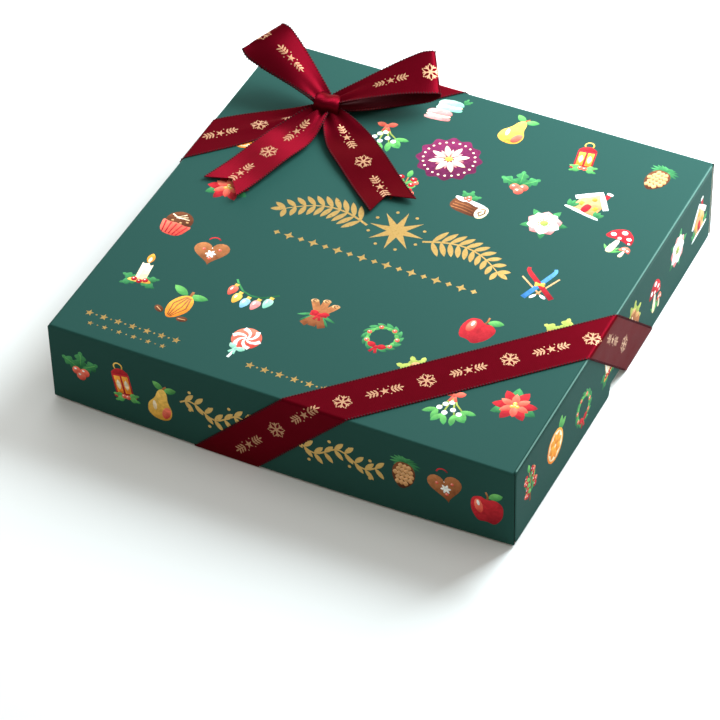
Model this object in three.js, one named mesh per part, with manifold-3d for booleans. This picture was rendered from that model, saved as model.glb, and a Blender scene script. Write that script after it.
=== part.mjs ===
import * as THREE from "three";
import Module from "manifold-3d";

// Gift box of sixteen pralines: a two-piece folding carton, a formed tray, a cushion pad and a tied ribbon.
// Millimetres, +Z up. The origin is the middle of the underside and the front wall faces -Y.

// Driving dimensions: the contents come first and the carton is sized round them
const ROW_COUNT = 4;
const PRALINE_SIDE = 25.5;
const PRALINE_HEIGHT = 14.5;
const WELL_CLEARANCE = 1.2;
const FOOT_CLEARANCE = 0.35;
const WELL_LAND = 10.1;
const WELL_DEPTH = 16.0;
const TRAY_MARGIN = 7.15;
const TRAY_SHEET = 0.5;
const TRAY_CLEARANCE = 0.5;
const TRAY_HEIGHT = 26.2;
const PAD_HEIGHT = 3.0;
const PAD_MARGIN = 1.0;
const CARD = 0.6;
const LID_CLEARANCE = 1.2;
const LID_RIM = 0.8;
const FOLD_RADIUS = 0.8;
const TAB_LENGTH = 17;
const NOTCH_WIDTH = 15;
const NOTCH_DEPTH = 4.3;
const NOTCH_SLOPE = 1.6;
const SEAT_GAP = 0.2;
const RIBBON_WIDTH = 16;
const RIBBON_THICKNESS = 0.3;
const RIBBON_GAP = 0.15;
const RIBBON_HEM = 8;
const FRONT_SETBACK = 68.04;
const BACK_SETBACK = 58.8;

// The bow, tied on the back band: where its knot sits and how long its loops and tails are
const KNOT_ALONG = 2.7;
const KNOT_ASIDE = 2.6;
const KNOT_LENGTH = 9;
const KNOT_WIDTH = 9;
const KNOT_HEIGHT = 7.5;
const KNOT_TURN = 14;
const BAND_NECK = 5;
const BAND_DRAWN = 40;
const LEFT_LOOP_LENGTH = 26.5;
const LEFT_LOOP_NECK = 9;
const RIGHT_LOOP_LENGTH = 33.5;
const RIGHT_LOOP_NECK = 6;
const LEFT_TAIL_LENGTH = 47;
const LEFT_TAIL_NECK = 6;
const RIGHT_TAIL_LENGTH = 49;
const RIGHT_TAIL_NECK = 6.4;
const TAIL_CUT = 5.6;
const LOOP_CLEARANCE = 0.7;
const TAIL_CLEARANCE = 1.1;

// Sizes that follow from them
const wellSide = PRALINE_SIDE + 2 * WELL_CLEARANCE;
const pitch = wellSide + WELL_LAND;
const traySide = ROW_COUNT * pitch - WELL_LAND + 2 * TRAY_MARGIN;
const baseInside = traySide + 2 * TRAY_CLEARANCE;
const baseSide = baseInside + 2 * CARD;
const lidInside = baseSide + 2 * LID_CLEARANCE;
const lidSide = lidInside + 2 * CARD;
const trayFoot = CARD + SEAT_GAP;
const deckTop = trayFoot + TRAY_HEIGHT;
const wellFloor = deckTop - WELL_DEPTH;
const padFoot = deckTop + SEAT_GAP;
const padTop = padFoot + PAD_HEIGHT;
const lidUnder = padTop + SEAT_GAP;
const lidTop = lidUnder + CARD;
const baseTop = lidUnder - SEAT_GAP;
const half = lidSide / 2;
const frontOffset = lidSide - FRONT_SETBACK;
const backOffset = lidSide - BACK_SETBACK;

const wasm = await Module();
wasm.setup();

const group = new THREE.Group();
group.name = "praline_box";

const boardGreen = new THREE.MeshStandardMaterial({ color: 0x2f6157, roughness: 0.55, metalness: 0 });
const boardWhite = new THREE.MeshStandardMaterial({ color: 0xf1f0ea, roughness: 0.75, metalness: 0 });
const goldFilm = new THREE.MeshStandardMaterial({ color: 0xc9a253, roughness: 0.35, metalness: 0.6 });
const paper = new THREE.MeshStandardMaterial({ color: 0xf4efe2, roughness: 0.85, metalness: 0 });
const satin = new THREE.MeshStandardMaterial({ color: 0x7d121d, roughness: 0.45, metalness: 0 });
const darkChocolate = new THREE.MeshStandardMaterial({ color: 0x3a1d12, roughness: 0.4, metalness: 0 });
const milkChocolate = new THREE.MeshStandardMaterial({ color: 0x7a4a2a, roughness: 0.42, metalness: 0 });
const whiteChocolate = new THREE.MeshStandardMaterial({ color: 0xeadcbd, roughness: 0.45, metalness: 0 });

// Adds one finished piece to the group
function addPiece(name, geometry, material) {
  geometry.computeVertexNormals();
  const mesh = new THREE.Mesh(geometry, material);
  mesh.name = name;
  group.add(mesh);
  return mesh;
}

// Geometry from a flat list of vectors and a list of corner triples
function fromTriangles(points, triples) {
  const geometry = new THREE.BufferGeometry().setFromPoints(points);
  geometry.setIndex(triples.flat());
  return geometry;
}

function toSolid(geometry) {
  return new wasm.Manifold(
    new wasm.Mesh({
      numProp: 3,
      vertProperties: new Float32Array(geometry.attributes.position.array),
      triVerts: new Uint32Array(geometry.index.array),
    }),
  );
}

function fromSolid(solid) {
  const mesh = solid.getMesh();
  const geometry = new THREE.BufferGeometry();
  geometry.setAttribute("position", new THREE.BufferAttribute(mesh.vertProperties, 3));
  geometry.setIndex(new THREE.BufferAttribute(mesh.triVerts, 1));
  return geometry;
}

// Closed solid through a stack of rings with the same number of corners, anticlockwise from above
function loft(rings) {
  const count = rings[0].length;
  const points = rings.flat();
  const triples = [];
  for (let level = 0; level + 1 < rings.length; level++) {
    for (let i = 0; i < count; i++) {
      const j = (i + 1) % count;
      const low = level * count;
      const high = low + count;
      triples.push([low + i, low + j, high + j], [low + i, high + j, high + i]);
    }
  }
  const last = (rings.length - 1) * count;
  for (let i = 1; i + 1 < count; i++) {
    triples.push([0, i + 1, i], [last, last + i, last + i + 1]);
  }
  return fromTriangles(points, triples);
}

// Square ring with rounded corners, each corner made of a few steps
function squareRing(side, corner, z, steps) {
  const ring = [];
  const arm = side / 2 - corner;
  for (let quarter = 0; quarter < 4; quarter++) {
    const middle = (quarter * Math.PI) / 2 + Math.PI / 4;
    const cornerX = arm * Math.SQRT2 * Math.cos(middle);
    const cornerY = arm * Math.SQRT2 * Math.sin(middle);
    for (let step = 0; step <= steps; step++) {
      const angle = (quarter * Math.PI) / 2 + (step / steps) * (Math.PI / 2);
      ring.push(
        new THREE.Vector3(cornerX + corner * Math.cos(angle), cornerY + corner * Math.sin(angle), z),
      );
    }
  }
  return ring;
}

// Plain rectangle ring for folded card
function boxRing(sizeX, sizeY, z) {
  return [
    new THREE.Vector3(sizeX / 2, sizeY / 2, z),
    new THREE.Vector3(-sizeX / 2, sizeY / 2, z),
    new THREE.Vector3(-sizeX / 2, -sizeY / 2, z),
    new THREE.Vector3(sizeX / 2, -sizeY / 2, z),
  ];
}

function block(sizeX, sizeY, lowZ, highZ, x = 0, y = 0) {
  const geometry = loft([boxRing(sizeX, sizeY, lowZ), boxRing(sizeX, sizeY, highZ)]);
  return toSolid(geometry.translate(x, y, 0));
}

// Rings of a fold: the card turns from the wall to the panel round a small radius
function foldRings(side, radius, panelZ, up) {
  const rings = [];
  const steps = 3;
  for (let step = 0; step <= steps; step++) {
    const angle = (step / steps) * (Math.PI / 2);
    const inset = radius * (1 - Math.cos(angle));
    const drop = radius * (1 - Math.sin(angle));
    rings.push(boxRing(side - 2 * inset, side - 2 * inset, panelZ - up * drop));
  }
  return rings;
}

// Base of the carton: floor and four glued walls of white board
const baseOuter = toSolid(
  loft([...foldRings(baseSide, FOLD_RADIUS, 0, -1).reverse(), boxRing(baseSide, baseSide, baseTop)]),
);
const baseBox = baseOuter.subtract(block(baseInside, baseInside, CARD, baseTop + 1));
addPiece("base", fromSolid(baseBox), boardWhite);

// Lid: top panel, four walls, glue tabs behind the front and back walls, a thumb notch in each side wall
const lidOuter = toSolid(
  loft([boxRing(lidSide, lidSide, LID_RIM), ...foldRings(lidSide, FOLD_RADIUS, lidTop, 1)]),
);
const tabInset = 1.5;
let lidBox = lidOuter.subtract(block(lidInside, lidInside, LID_RIM - 1, lidUnder));
for (const sideX of [-1, 1]) {
  for (const sideY of [-1, 1]) {
    const tabX = sideX * (lidInside / 2 - TAB_LENGTH / 2 + CARD / 2);
    const tabY = sideY * (lidInside / 2 - CARD / 2 + CARD / 4);
    const tabLow = LID_RIM + tabInset;
    const tab = block(TAB_LENGTH + CARD, CARD * 1.5, tabLow, lidUnder - tabInset, tabX, tabY);
    lidBox = lidBox.add(tab);
  }
}
const notchShape = new THREE.Shape([
  new THREE.Vector2(-NOTCH_WIDTH / 2, -1),
  new THREE.Vector2(NOTCH_WIDTH / 2, -1),
  new THREE.Vector2(NOTCH_WIDTH / 2, 0),
  new THREE.Vector2(NOTCH_WIDTH / 2 - NOTCH_SLOPE, NOTCH_DEPTH),
  new THREE.Vector2(-NOTCH_WIDTH / 2 + NOTCH_SLOPE, NOTCH_DEPTH),
  new THREE.Vector2(-NOTCH_WIDTH / 2, 0),
]);
const notchRing = (x) => notchShape.getPoints().map((p) => new THREE.Vector3(x, p.x, LID_RIM + p.y));
const notchReach = 3;
for (const sideX of [-1, 1]) {
  const wall = sideX * half;
  lidBox = lidBox.subtract(toSolid(loft([notchRing(wall - notchReach), notchRing(wall + notchReach)])));
}
addPiece("lid", fromSolid(lidBox), boardGreen);

// Formed tray: one thin sheet with a deck, sixteen drafted wells and a skirt that stands on the base's floor
const wellCorner = 6;
const wellDraft = WELL_CLEARANCE - FOOT_CLEARANCE;
const wellFillet = 0.8;
const wellFilletRise = 1.2;
const wellSteps = 2;
const places = [];
for (let row = 0; row < ROW_COUNT; row++) {
  for (let column = 0; column < ROW_COUNT; column++) {
    places.push([(column - (ROW_COUNT - 1) / 2) * pitch, ((ROW_COUNT - 1) / 2 - row) * pitch]);
  }
}
function well(grow, floorZ, topZ) {
  const sideTop = wellSide + 2 * grow;
  const sideFoot = sideTop - 2 * wellDraft;
  return loft([
    squareRing(sideFoot - 2 * wellFillet, wellCorner - wellDraft + grow, floorZ, wellSteps),
    squareRing(sideFoot, wellCorner - wellDraft + grow, floorZ + wellFilletRise, wellSteps),
    squareRing(sideTop, wellCorner + grow, topZ, wellSteps),
  ]);
}
const skirtDraft = 0.6;
const skirtCorner = 3;
function skirt(shrink, lowZ, highZ) {
  const foot = traySide - 2 * shrink;
  const head = foot - 2 * skirtDraft;
  return toSolid(
    loft([squareRing(foot, skirtCorner, lowZ, wellSteps), squareRing(head, skirtCorner, highZ, wellSteps)]),
  );
}
let traySolid = skirt(0, trayFoot, deckTop);
let trayHollow = skirt(TRAY_SHEET, trayFoot - 0.01, deckTop - TRAY_SHEET);
for (const [x, y] of places) {
  traySolid = traySolid.subtract(toSolid(well(0, wellFloor, deckTop + 0.01).translate(x, y, 0)));
  const jacket = well(TRAY_SHEET, wellFloor - TRAY_SHEET, deckTop + 0.01).translate(x, y, 0);
  trayHollow = trayHollow.subtract(toSolid(jacket));
}
addPiece("insert_tray", fromSolid(traySolid.subtract(trayHollow)), goldFilm);

// Pralines: four designs, each lofted from its own outline, four of each in diagonal rows
const prSteps = 20;
const prRadius = PRALINE_SIDE / 2;
function outlineRing(radiusAt, scale, z) {
  const ring = [];
  for (let i = 0; i < prSteps; i++) {
    const angle = (i / prSteps) * 2 * Math.PI;
    const radius = radiusAt(angle) * scale;
    ring.push(new THREE.Vector3(radius * Math.cos(angle), radius * Math.sin(angle), z));
  }
  return ring;
}
const squareOutline = (angle) => {
  const power = 6;
  const c = Math.abs(Math.cos(angle)) ** power;
  const s = Math.abs(Math.sin(angle)) ** power;
  return prRadius * 0.92 * (c + s) ** (-1 / power);
};
const flutedOutline = (angle) => prRadius * (0.95 + 0.05 * Math.cos(10 * angle));
const triangleOutline = (angle) => prRadius * (0.87 + 0.13 * Math.cos(3 * (angle - Math.PI / 2)));
const ovalOutline = (angle) => {
  const wide = prRadius;
  const deep = prRadius * 0.8;
  return (wide * deep) / Math.hypot(deep * Math.cos(angle), wide * Math.sin(angle));
};
const squareSteps = [[0.97, 0], [1, 0.1], [0.93, 0.8], [0.86, 0.93]];
const flutedSteps = [[0.94, 0], [1, 0.15], [0.93, 0.5], [0.66, 0.83], [0.22, 1]];
const triangleSteps = [[0.97, 0], [1, 0.1], [0.9, 0.78], [0.82, 0.9]];
const ovalSteps = [[0.93, 0], [1, 0.2], [0.92, 0.55], [0.7, 0.83], [0.3, 0.96]];
const designs = [
  { outline: squareOutline, steps: squareSteps, material: darkChocolate },
  { outline: flutedOutline, steps: flutedSteps, material: milkChocolate },
  { outline: triangleOutline, steps: triangleSteps, material: whiteChocolate },
  { outline: ovalOutline, steps: ovalSteps, material: darkChocolate },
];
const prFoot = wellFloor + SEAT_GAP;
places.forEach(([x, y], index) => {
  const row = Math.floor(index / ROW_COUNT);
  const column = index % ROW_COUNT;
  const design = designs[(row + column) % designs.length];
  const rings = design.steps.map(([scale, rise]) =>
    outlineRing(design.outline, scale, prFoot + rise * PRALINE_HEIGHT),
  );
  const geometry = loft(rings).translate(x, y, 0);
  addPiece("praline_" + String(index + 1).padStart(2, "0"), geometry, design.material);
});

// Cushion pad: layered paper pressed into rows of small pillows, flat underneath
const padSide = traySide - 2 * PAD_MARGIN;
const padPillows = 8;
const padCells = padPillows * 2;
const padRimHeight = 0.35 * PAD_HEIGHT;
const padSeamHeight = 0.55 * PAD_HEIGHT;
const padPoints = [];
const padTriples = [];
for (let i = 0; i <= padCells; i++) {
  for (let j = 0; j <= padCells; j++) {
    const crest = Math.abs(Math.sin((i / padCells) * padPillows * Math.PI));
    const cross = Math.abs(Math.sin((j / padCells) * padPillows * Math.PI));
    const onRim = i === 0 || j === 0 || i === padCells || j === padCells;
    const pillow = padSeamHeight + (PAD_HEIGHT - padSeamHeight) * crest * cross;
    const height = onRim ? padRimHeight : pillow;
    const x = (i / padCells - 0.5) * padSide;
    const y = (j / padCells - 0.5) * padSide;
    padPoints.push(new THREE.Vector3(x, y, padFoot + height));
  }
}
const padAt = (i, j) => i * (padCells + 1) + j;
for (let i = 0; i < padCells; i++) {
  for (let j = 0; j < padCells; j++) {
    padTriples.push([padAt(i, j), padAt(i + 1, j), padAt(i + 1, j + 1)]);
    padTriples.push([padAt(i, j), padAt(i + 1, j + 1), padAt(i, j + 1)]);
  }
}
const padRim = [];
for (let i = 0; i < padCells; i++) padRim.push(padAt(i, 0));
for (let j = 0; j < padCells; j++) padRim.push(padAt(padCells, j));
for (let i = padCells; i > 0; i--) padRim.push(padAt(i, padCells));
for (let j = padCells; j > 0; j--) padRim.push(padAt(0, j));
const padUnder = padPoints.length;
for (const rim of padRim) {
  padPoints.push(padPoints[rim].clone().setZ(padFoot));
}
const padMiddle = padPoints.length;
padPoints.push(new THREE.Vector3(0, 0, padFoot));
padRim.forEach((rim, k) => {
  const next = (k + 1) % padRim.length;
  padTriples.push([padUnder + k, padUnder + next, padRim[next]], [padUnder + k, padRim[next], rim]);
  padTriples.push([padMiddle, padUnder + next, padUnder + k]);
});
addPiece("cushion_pad", fromTriangles(padPoints, padTriples), paper);

// Ribbon: a thin closed strip laid along a grid of points, rows along its run and columns across it
function stripSolid(grid) {
  const rows = grid.length;
  const columns = grid[0].length;
  const at = (i, j) => grid[Math.min(Math.max(i, 0), rows - 1)][Math.min(Math.max(j, 0), columns - 1)];
  const points = [];
  for (const side of [1, -1]) {
    for (let i = 0; i < rows; i++) {
      for (let j = 0; j < columns; j++) {
        const along = at(i + 1, j).clone().sub(at(i - 1, j));
        const across = at(i, j + 1).clone().sub(at(i, j - 1));
        const normal = along.cross(across).normalize();
        points.push(at(i, j).clone().addScaledVector(normal, (side * RIBBON_THICKNESS) / 2));
      }
    }
  }
  const back = rows * columns;
  const id = (i, j) => i * columns + j;
  const triples = [];
  for (let i = 0; i + 1 < rows; i++) {
    for (let j = 0; j + 1 < columns; j++) {
      const corners = [id(i, j), id(i + 1, j), id(i + 1, j + 1), id(i, j + 1)];
      triples.push([corners[0], corners[1], corners[2]], [corners[0], corners[2], corners[3]]);
      const under = corners.map((c) => c + back);
      triples.push([under[0], under[2], under[1]], [under[0], under[3], under[2]]);
    }
  }
  const rim = [];
  for (let i = 0; i + 1 < rows; i++) rim.push(id(i, 0));
  for (let j = 0; j + 1 < columns; j++) rim.push(id(rows - 1, j));
  for (let i = rows - 1; i > 0; i--) rim.push(id(i, columns - 1));
  for (let j = columns - 1; j > 0; j--) rim.push(id(0, j));
  rim.forEach((corner, k) => {
    const next = rim[(k + 1) % rim.length];
    triples.push([corner, corner + back, next + back], [corner, next + back, next]);
  });
  return fromTriangles(points, triples);
}
const stripColumns = 5;
const columnAt = (j) => (2 * j) / (stripColumns - 1) - 1;

// Side view of a band: lid's top, fold, down the wall, round the rim and up inside the wall
const bandLift = RIBBON_GAP + RIBBON_THICKNESS / 2;
const foldTurn = FOLD_RADIUS + bandLift;
const foldEnd = -FOLD_RADIUS + foldTurn * (Math.PI / 2);
const rimStart = foldEnd + (lidTop - FOLD_RADIUS - LID_RIM);
const rimTurn = CARD / 2 + bandLift;
const rimEnd = rimStart + rimTurn * Math.PI;
const bandEnd = rimEnd + RIBBON_HEM;
function bandProfile(run) {
  if (run < -FOLD_RADIUS) return { out: run, z: lidTop + bandLift };
  if (run < foldEnd) {
    const angle = (run + FOLD_RADIUS) / foldTurn;
    const out = -FOLD_RADIUS + foldTurn * Math.sin(angle);
    return { out, z: lidTop - FOLD_RADIUS + foldTurn * Math.cos(angle) };
  }
  if (run < rimStart) return { out: bandLift, z: lidTop - FOLD_RADIUS - (run - foldEnd) };
  if (run < rimEnd) {
    const angle = (run - rimStart) / rimTurn;
    return { out: -CARD / 2 + rimTurn * Math.cos(angle), z: LID_RIM - rimTurn * Math.sin(angle) };
  }
  return { out: -CARD - bandLift, z: LID_RIM + (run - rimEnd) };
}
const bandLead = 2.5;
const wallRuns = [-bandLead, -FOLD_RADIUS];
for (let step = 1; step <= 4; step++) {
  wallRuns.push(-FOLD_RADIUS + (step / 4) * (foldEnd + FOLD_RADIUS));
}
wallRuns.push((foldEnd + rimStart) / 2);
for (let step = 0; step <= 6; step++) {
  wallRuns.push(rimStart + (step / 6) * (rimEnd - rimStart));
}
wallRuns.push(bandEnd);

// A band crosses one corner of the lid at 45 degrees, so it stays straight on the unfolded card
function cornerBand(offset, topRows, widthAt) {
  const toFold = half - offset / 2;
  const grid = [];
  const wallRow = (run, end) => {
    const row = [];
    for (let j = 0; j < stripColumns; j++) {
      const shift = (columnAt(j) * RIBBON_WIDTH) / Math.SQRT2;
      const side = bandProfile(run);
      const along = offset - half - run;
      if (end < 0) row.push(new THREE.Vector3(along + shift, -(half + side.out), side.z));
      else row.push(new THREE.Vector3(half + side.out, -along - shift, side.z));
    }
    return row;
  };
  for (const run of [...wallRuns].reverse()) grid.push(wallRow(run, -1));
  const reach = Math.SQRT2 * (toFold + wallRuns[0]);
  for (let i = 1; i < topRows; i++) {
    const t = i / topRows;
    const row = [];
    for (let j = 0; j < stripColumns; j++) {
      const q = columnAt(j);
      const skew = (1 - 2 * t) * q * (RIBBON_WIDTH / 2);
      const along = (2 * t - 1) * reach + skew;
      const across = q * (widthAt(along) / 2);
      const x = offset / 2 + (along + across) / Math.SQRT2;
      const y = -offset / 2 + (along - across) / Math.SQRT2;
      row.push(new THREE.Vector3(x, y, lidTop + bandLift));
    }
    grid.push(row);
  }
  for (const run of wallRuns) grid.push(wallRow(run, 1));
  return stripSolid(grid);
}
const frontBand = cornerBand(frontOffset, 3, () => RIBBON_WIDTH);
addPiece("ribbon_band_front", frontBand, satin);

// The back band is drawn in under the knot
const bandWidthAt = (along) => {
  const away = Math.min(1, Math.abs(along + KNOT_ALONG) / BAND_DRAWN);
  return BAND_NECK + (RIBBON_WIDTH - BAND_NECK) * Math.sin((away * Math.PI) / 2);
};
const backBand = cornerBand(backOffset, 22, bandWidthAt).rotateZ(Math.PI);
addPiece("ribbon_band_back", backBand, satin);

// Bow: every piece starts from the knot's middle, on the back band
const knot = new THREE.Vector3(
  -backOffset / 2 + (KNOT_ALONG + KNOT_ASIDE) / Math.SQRT2,
  backOffset / 2 + (KNOT_ALONG - KNOT_ASIDE) / Math.SQRT2,
  lidTop,
);
const knotMiddle = bandLift + RIBBON_THICKNESS / 2 + RIBBON_GAP + KNOT_HEIGHT / 2;
const knotSides = 14;
const knotSections = [[-0.5, 0.62], [-0.36, 0.88], [-0.12, 1], [0.12, 1], [0.36, 0.88], [0.5, 0.62]];
const knotRings = [];
for (const [reach, size] of knotSections) {
  const ring = [];
  for (let i = 0; i < knotSides; i++) {
    const angle = (i / knotSides) * 2 * Math.PI;
    const y = (KNOT_WIDTH / 2) * size * Math.cos(angle);
    const z = (KNOT_HEIGHT / 2) * size * Math.sin(angle);
    ring.push(new THREE.Vector3(reach * KNOT_LENGTH, y, z + knotMiddle));
  }
  knotRings.push(ring);
}
const knotSolid = loft(knotRings).rotateZ(THREE.MathUtils.degToRad(KNOT_TURN));
addPiece("bow_knot", knotSolid.translate(knot.x, knot.y, knot.z), satin);

// A loop is a teardrop: it leaves the knot, turns over at its far end and comes back underneath. Its upper
// leg is cupped: the edge towards the viewer droops by cup.
function bowLoop({ heading, rise, start, length, gap, neckGap, foot, roll, skew, neck, side, cup }) {
  const turn = THREE.MathUtils.degToRad(heading);
  const climb = THREE.MathUtils.degToRad(rise);
  const out = new THREE.Vector3(Math.cos(turn), Math.sin(turn), 0);
  const axis = out.clone().multiplyScalar(Math.cos(climb)).setZ(Math.sin(climb));
  const flank = new THREE.Vector3(-Math.sin(turn), Math.cos(turn), 0).multiplyScalar(side);
  const normal = out.clone().multiplyScalar(-Math.sin(climb)).setZ(Math.cos(climb));
  const origin = knot.clone().addScaledVector(out, start).add(new THREE.Vector3(0, 0, foot));
  const rows = 26;
  const grid = [];
  for (let i = 0; i <= rows; i++) {
    const phase = (i / rows) * 2 * Math.PI;
    const swing = Math.sin(phase / 2);
    const run = length * (1 - Math.cos(phase)) * 0.5;
    const open = neckGap * Math.cos(phase / 2) + gap * Math.sin(phase) * swing;
    const leg = THREE.MathUtils.degToRad(roll) * swing * swing;
    const width = neck + (RIBBON_WIDTH - neck) * Math.min(1, (run / length) * 1.12);
    const ruling = flank.clone().multiplyScalar(Math.cos(leg)).addScaledVector(normal, Math.sin(leg));
    ruling.addScaledVector(axis, skew * swing * swing);
    const centre = origin.clone().addScaledVector(axis, run).addScaledVector(normal, open);
    const row = [];
    for (let j = 0; j < stripColumns; j++) {
      const q = columnAt(j);
      const droop = cup * Math.max(0, Math.sin(phase)) * Math.max(0, -q) ** 1.6;
      row.push(centre.clone().addScaledVector(ruling, (q * width) / 2).addScaledVector(normal, -droop));
    }
    grid.push(side > 0 ? row : row.reverse());
  }
  return stripSolid(grid);
}
const leftLoop = bowLoop({
  heading: 165.6,
  rise: 28.3,
  start: KNOT_LENGTH / 2 + LOOP_CLEARANCE,
  length: LEFT_LOOP_LENGTH,
  gap: 3.4,
  neckGap: 1.2,
  foot: knotMiddle + 2.45,
  roll: 18.4,
  skew: -0.16,
  neck: LEFT_LOOP_NECK,
  side: -1,
  cup: 4.6,
});
addPiece("bow_loop_left", leftLoop, satin);
const rightLoop = bowLoop({
  heading: 36.4,
  rise: 10.3,
  start: KNOT_LENGTH / 2 + LOOP_CLEARANCE,
  length: RIGHT_LOOP_LENGTH,
  gap: 2.6,
  neckGap: 0.9,
  foot: knotMiddle + 0.8,
  roll: 25.4,
  skew: 0.15,
  neck: RIGHT_LOOP_NECK,
  side: 1,
  cup: 0,
});
addPiece("bow_loop_right", rightLoop, satin);

// A tail runs down from the knot, lies on the lid and ends in a swallow-tail cut
function bowTail({ heading, start, length, foot, rest, tilt, neck, lean }) {
  const turn = THREE.MathUtils.degToRad(heading);
  const out = new THREE.Vector3(Math.cos(turn), Math.sin(turn), 0);
  const flank = new THREE.Vector3(-Math.sin(turn), Math.cos(turn), 0);
  const origin = knot.clone().addScaledVector(out, start);
  const rows = 14;
  const grid = [];
  for (let i = 0; i <= rows; i++) {
    const row = [];
    for (let j = 0; j < stripColumns; j++) {
      const q = columnAt(j);
      const reach = length - TAIL_CUT * (1 - Math.abs(q)) + lean * q;
      const run = (i / rows) * reach;
      const settled = 1 - Math.exp(-((run / 9) ** 2));
      const width = neck + (RIBBON_WIDTH - neck) * Math.sin(Math.min(1, run / 15) * (Math.PI / 2));
      const height = foot + (rest - foot) * settled + tilt * q * settled;
      const point = origin.clone().addScaledVector(out, run).addScaledVector(flank, (q * width) / 2);
      row.push(point.setZ(knot.z + height));
    }
    grid.push(row);
  }
  return stripSolid(grid);
}
const leftTail = bowTail({
  heading: -106,
  start: KNOT_WIDTH / 2 + TAIL_CLEARANCE,
  length: LEFT_TAIL_LENGTH,
  foot: knotMiddle - 0.85,
  rest: 1.7,
  tilt: -0.9,
  neck: LEFT_TAIL_NECK,
  lean: 0.6,
});
addPiece("bow_tail_left", leftTail, satin);
const rightTail = bowTail({
  heading: -40.6,
  start: KNOT_WIDTH / 2 + TAIL_CLEARANCE,
  length: RIGHT_TAIL_LENGTH,
  foot: knotMiddle - 1.25,
  rest: 1.5,
  tilt: 0.9,
  neck: RIGHT_TAIL_NECK,
  lean: 0.6,
});
addPiece("bow_tail_right", rightTail, satin);

export default group;
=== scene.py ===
# Gift box of sixteen pralines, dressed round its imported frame. Metres, +Z up, front wall towards -Y.
import math

import bmesh
import bpy
import numpy as np
from mathutils import Matrix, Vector
from mathutils.geometry import delaunay_2d_cdt


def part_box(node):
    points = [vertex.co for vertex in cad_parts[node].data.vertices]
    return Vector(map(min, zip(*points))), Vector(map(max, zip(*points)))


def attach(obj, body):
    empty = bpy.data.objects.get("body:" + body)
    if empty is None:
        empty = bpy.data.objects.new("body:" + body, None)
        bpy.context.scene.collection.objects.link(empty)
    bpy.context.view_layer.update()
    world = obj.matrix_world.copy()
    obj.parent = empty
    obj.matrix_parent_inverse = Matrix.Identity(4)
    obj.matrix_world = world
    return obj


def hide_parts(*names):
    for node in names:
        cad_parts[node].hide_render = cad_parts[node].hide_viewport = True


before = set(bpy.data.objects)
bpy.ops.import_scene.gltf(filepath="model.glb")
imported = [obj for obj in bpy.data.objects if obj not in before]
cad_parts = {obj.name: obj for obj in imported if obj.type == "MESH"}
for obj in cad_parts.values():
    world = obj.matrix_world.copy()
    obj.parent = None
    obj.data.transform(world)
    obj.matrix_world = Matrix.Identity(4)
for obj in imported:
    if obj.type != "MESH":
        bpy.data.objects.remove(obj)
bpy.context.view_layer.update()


# Studio: a white table top under soft light from the back right, and the camera where the photograph
# was taken. The camera's angles, distance and lens come from a fit to the corners of the lid.
MM = 0.001
LID_WIDTH = 0.162
CAMERA_AZIMUTH = 27.08
CAMERA_ELEVATION = 42.78
CAMERA_ROLL = -1.65
CAMERA_DISTANCE = 7.135 * LID_WIDTH
CAMERA_ASIDE = -0.061 * LID_WIDTH
CAMERA_ABOVE = -0.0958 * LID_WIDTH
CAMERA_LENS = 175.09
TABLE_SIDE = 6.0
TABLE_GAP = 0.05 * MM
STUDIO_GLOW = 0.32


def linear(code, alpha=1.0):
    """Linear colour of an sRGB hex value."""
    parts = [int(code[i:i + 2], 16) / 255 for i in (1, 3, 5)]
    return (*[c / 12.92 if c <= 0.04045 else ((c + 0.055) / 1.055) ** 2.4 for c in parts], alpha)


def start_material(name, sockets):
    """A new material, its tree and its shader, whose even values are set on the shader itself."""
    material = bpy.data.materials.new(name)
    material.use_nodes = True
    shader = material.node_tree.nodes["Principled BSDF"]
    for socket, value in sockets.items():
        shader.inputs[socket].default_value = value
    return material, material.node_tree, shader


def put_mesh(name, points, faces, materials=()):
    """A mesh object at the origin from points in metres."""
    mesh = bpy.data.meshes.new(name)
    mesh.from_pydata([tuple(p) for p in points], [], [tuple(f) for f in faces])
    for material in materials:
        mesh.materials.append(material)
    made = bpy.data.objects.new(name, mesh)
    bpy.context.scene.collection.objects.link(made)
    return made


def level_axes(back):
    """Right, up and back of a camera or lamp that stands level and looks against back."""
    right = np.cross([0, 0, 1], back)
    right /= np.linalg.norm(right)
    back = back / np.linalg.norm(back)
    return right, np.cross(back, right), back


def set_up(made, place, axes):
    """Stand a camera or lamp in the studio at place, with axes as its right, up and back."""
    made.matrix_world = Matrix.Translation(place) @ Matrix(np.transpose(axes).tolist()).to_4x4()
    bpy.context.scene.collection.objects.link(made)


azimuth = math.radians(CAMERA_AZIMUTH)
elevation = math.radians(CAMERA_ELEVATION)
roll = math.radians(CAMERA_ROLL)
right, up, back = level_axes(np.array([
    math.sin(azimuth) * math.cos(elevation),
    -math.cos(azimuth) * math.cos(elevation),
    math.sin(elevation),
]))
camera_axes = np.array([
    math.cos(roll) * right + math.sin(roll) * up,
    -math.sin(roll) * right + math.cos(roll) * up,
    back,
])
camera = bpy.data.objects.new("camera", bpy.data.cameras.new("camera"))
camera.data.lens = CAMERA_LENS
camera.data.sensor_width = 36.0
camera.data.clip_start = 0.05
camera.data.clip_end = 20.0
set_up(camera, camera_axes.T @ np.array([CAMERA_ASIDE, CAMERA_ABOVE, CAMERA_DISTANCE]), camera_axes)
bpy.context.scene.camera = camera
bpy.context.scene.view_settings.view_transform = "Standard"

edge = TABLE_SIDE / 2
table = put_mesh(
    "table_top",
    [(x, y, -TABLE_GAP) for x, y in ((-edge, -edge), (edge, -edge), (edge, edge), (-edge, edge))],
    [(0, 1, 2, 3)],
    [start_material("white_table", {"Base Color": linear("#e2e6e5"), "Roughness": 0.9})[0]],
)

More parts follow.
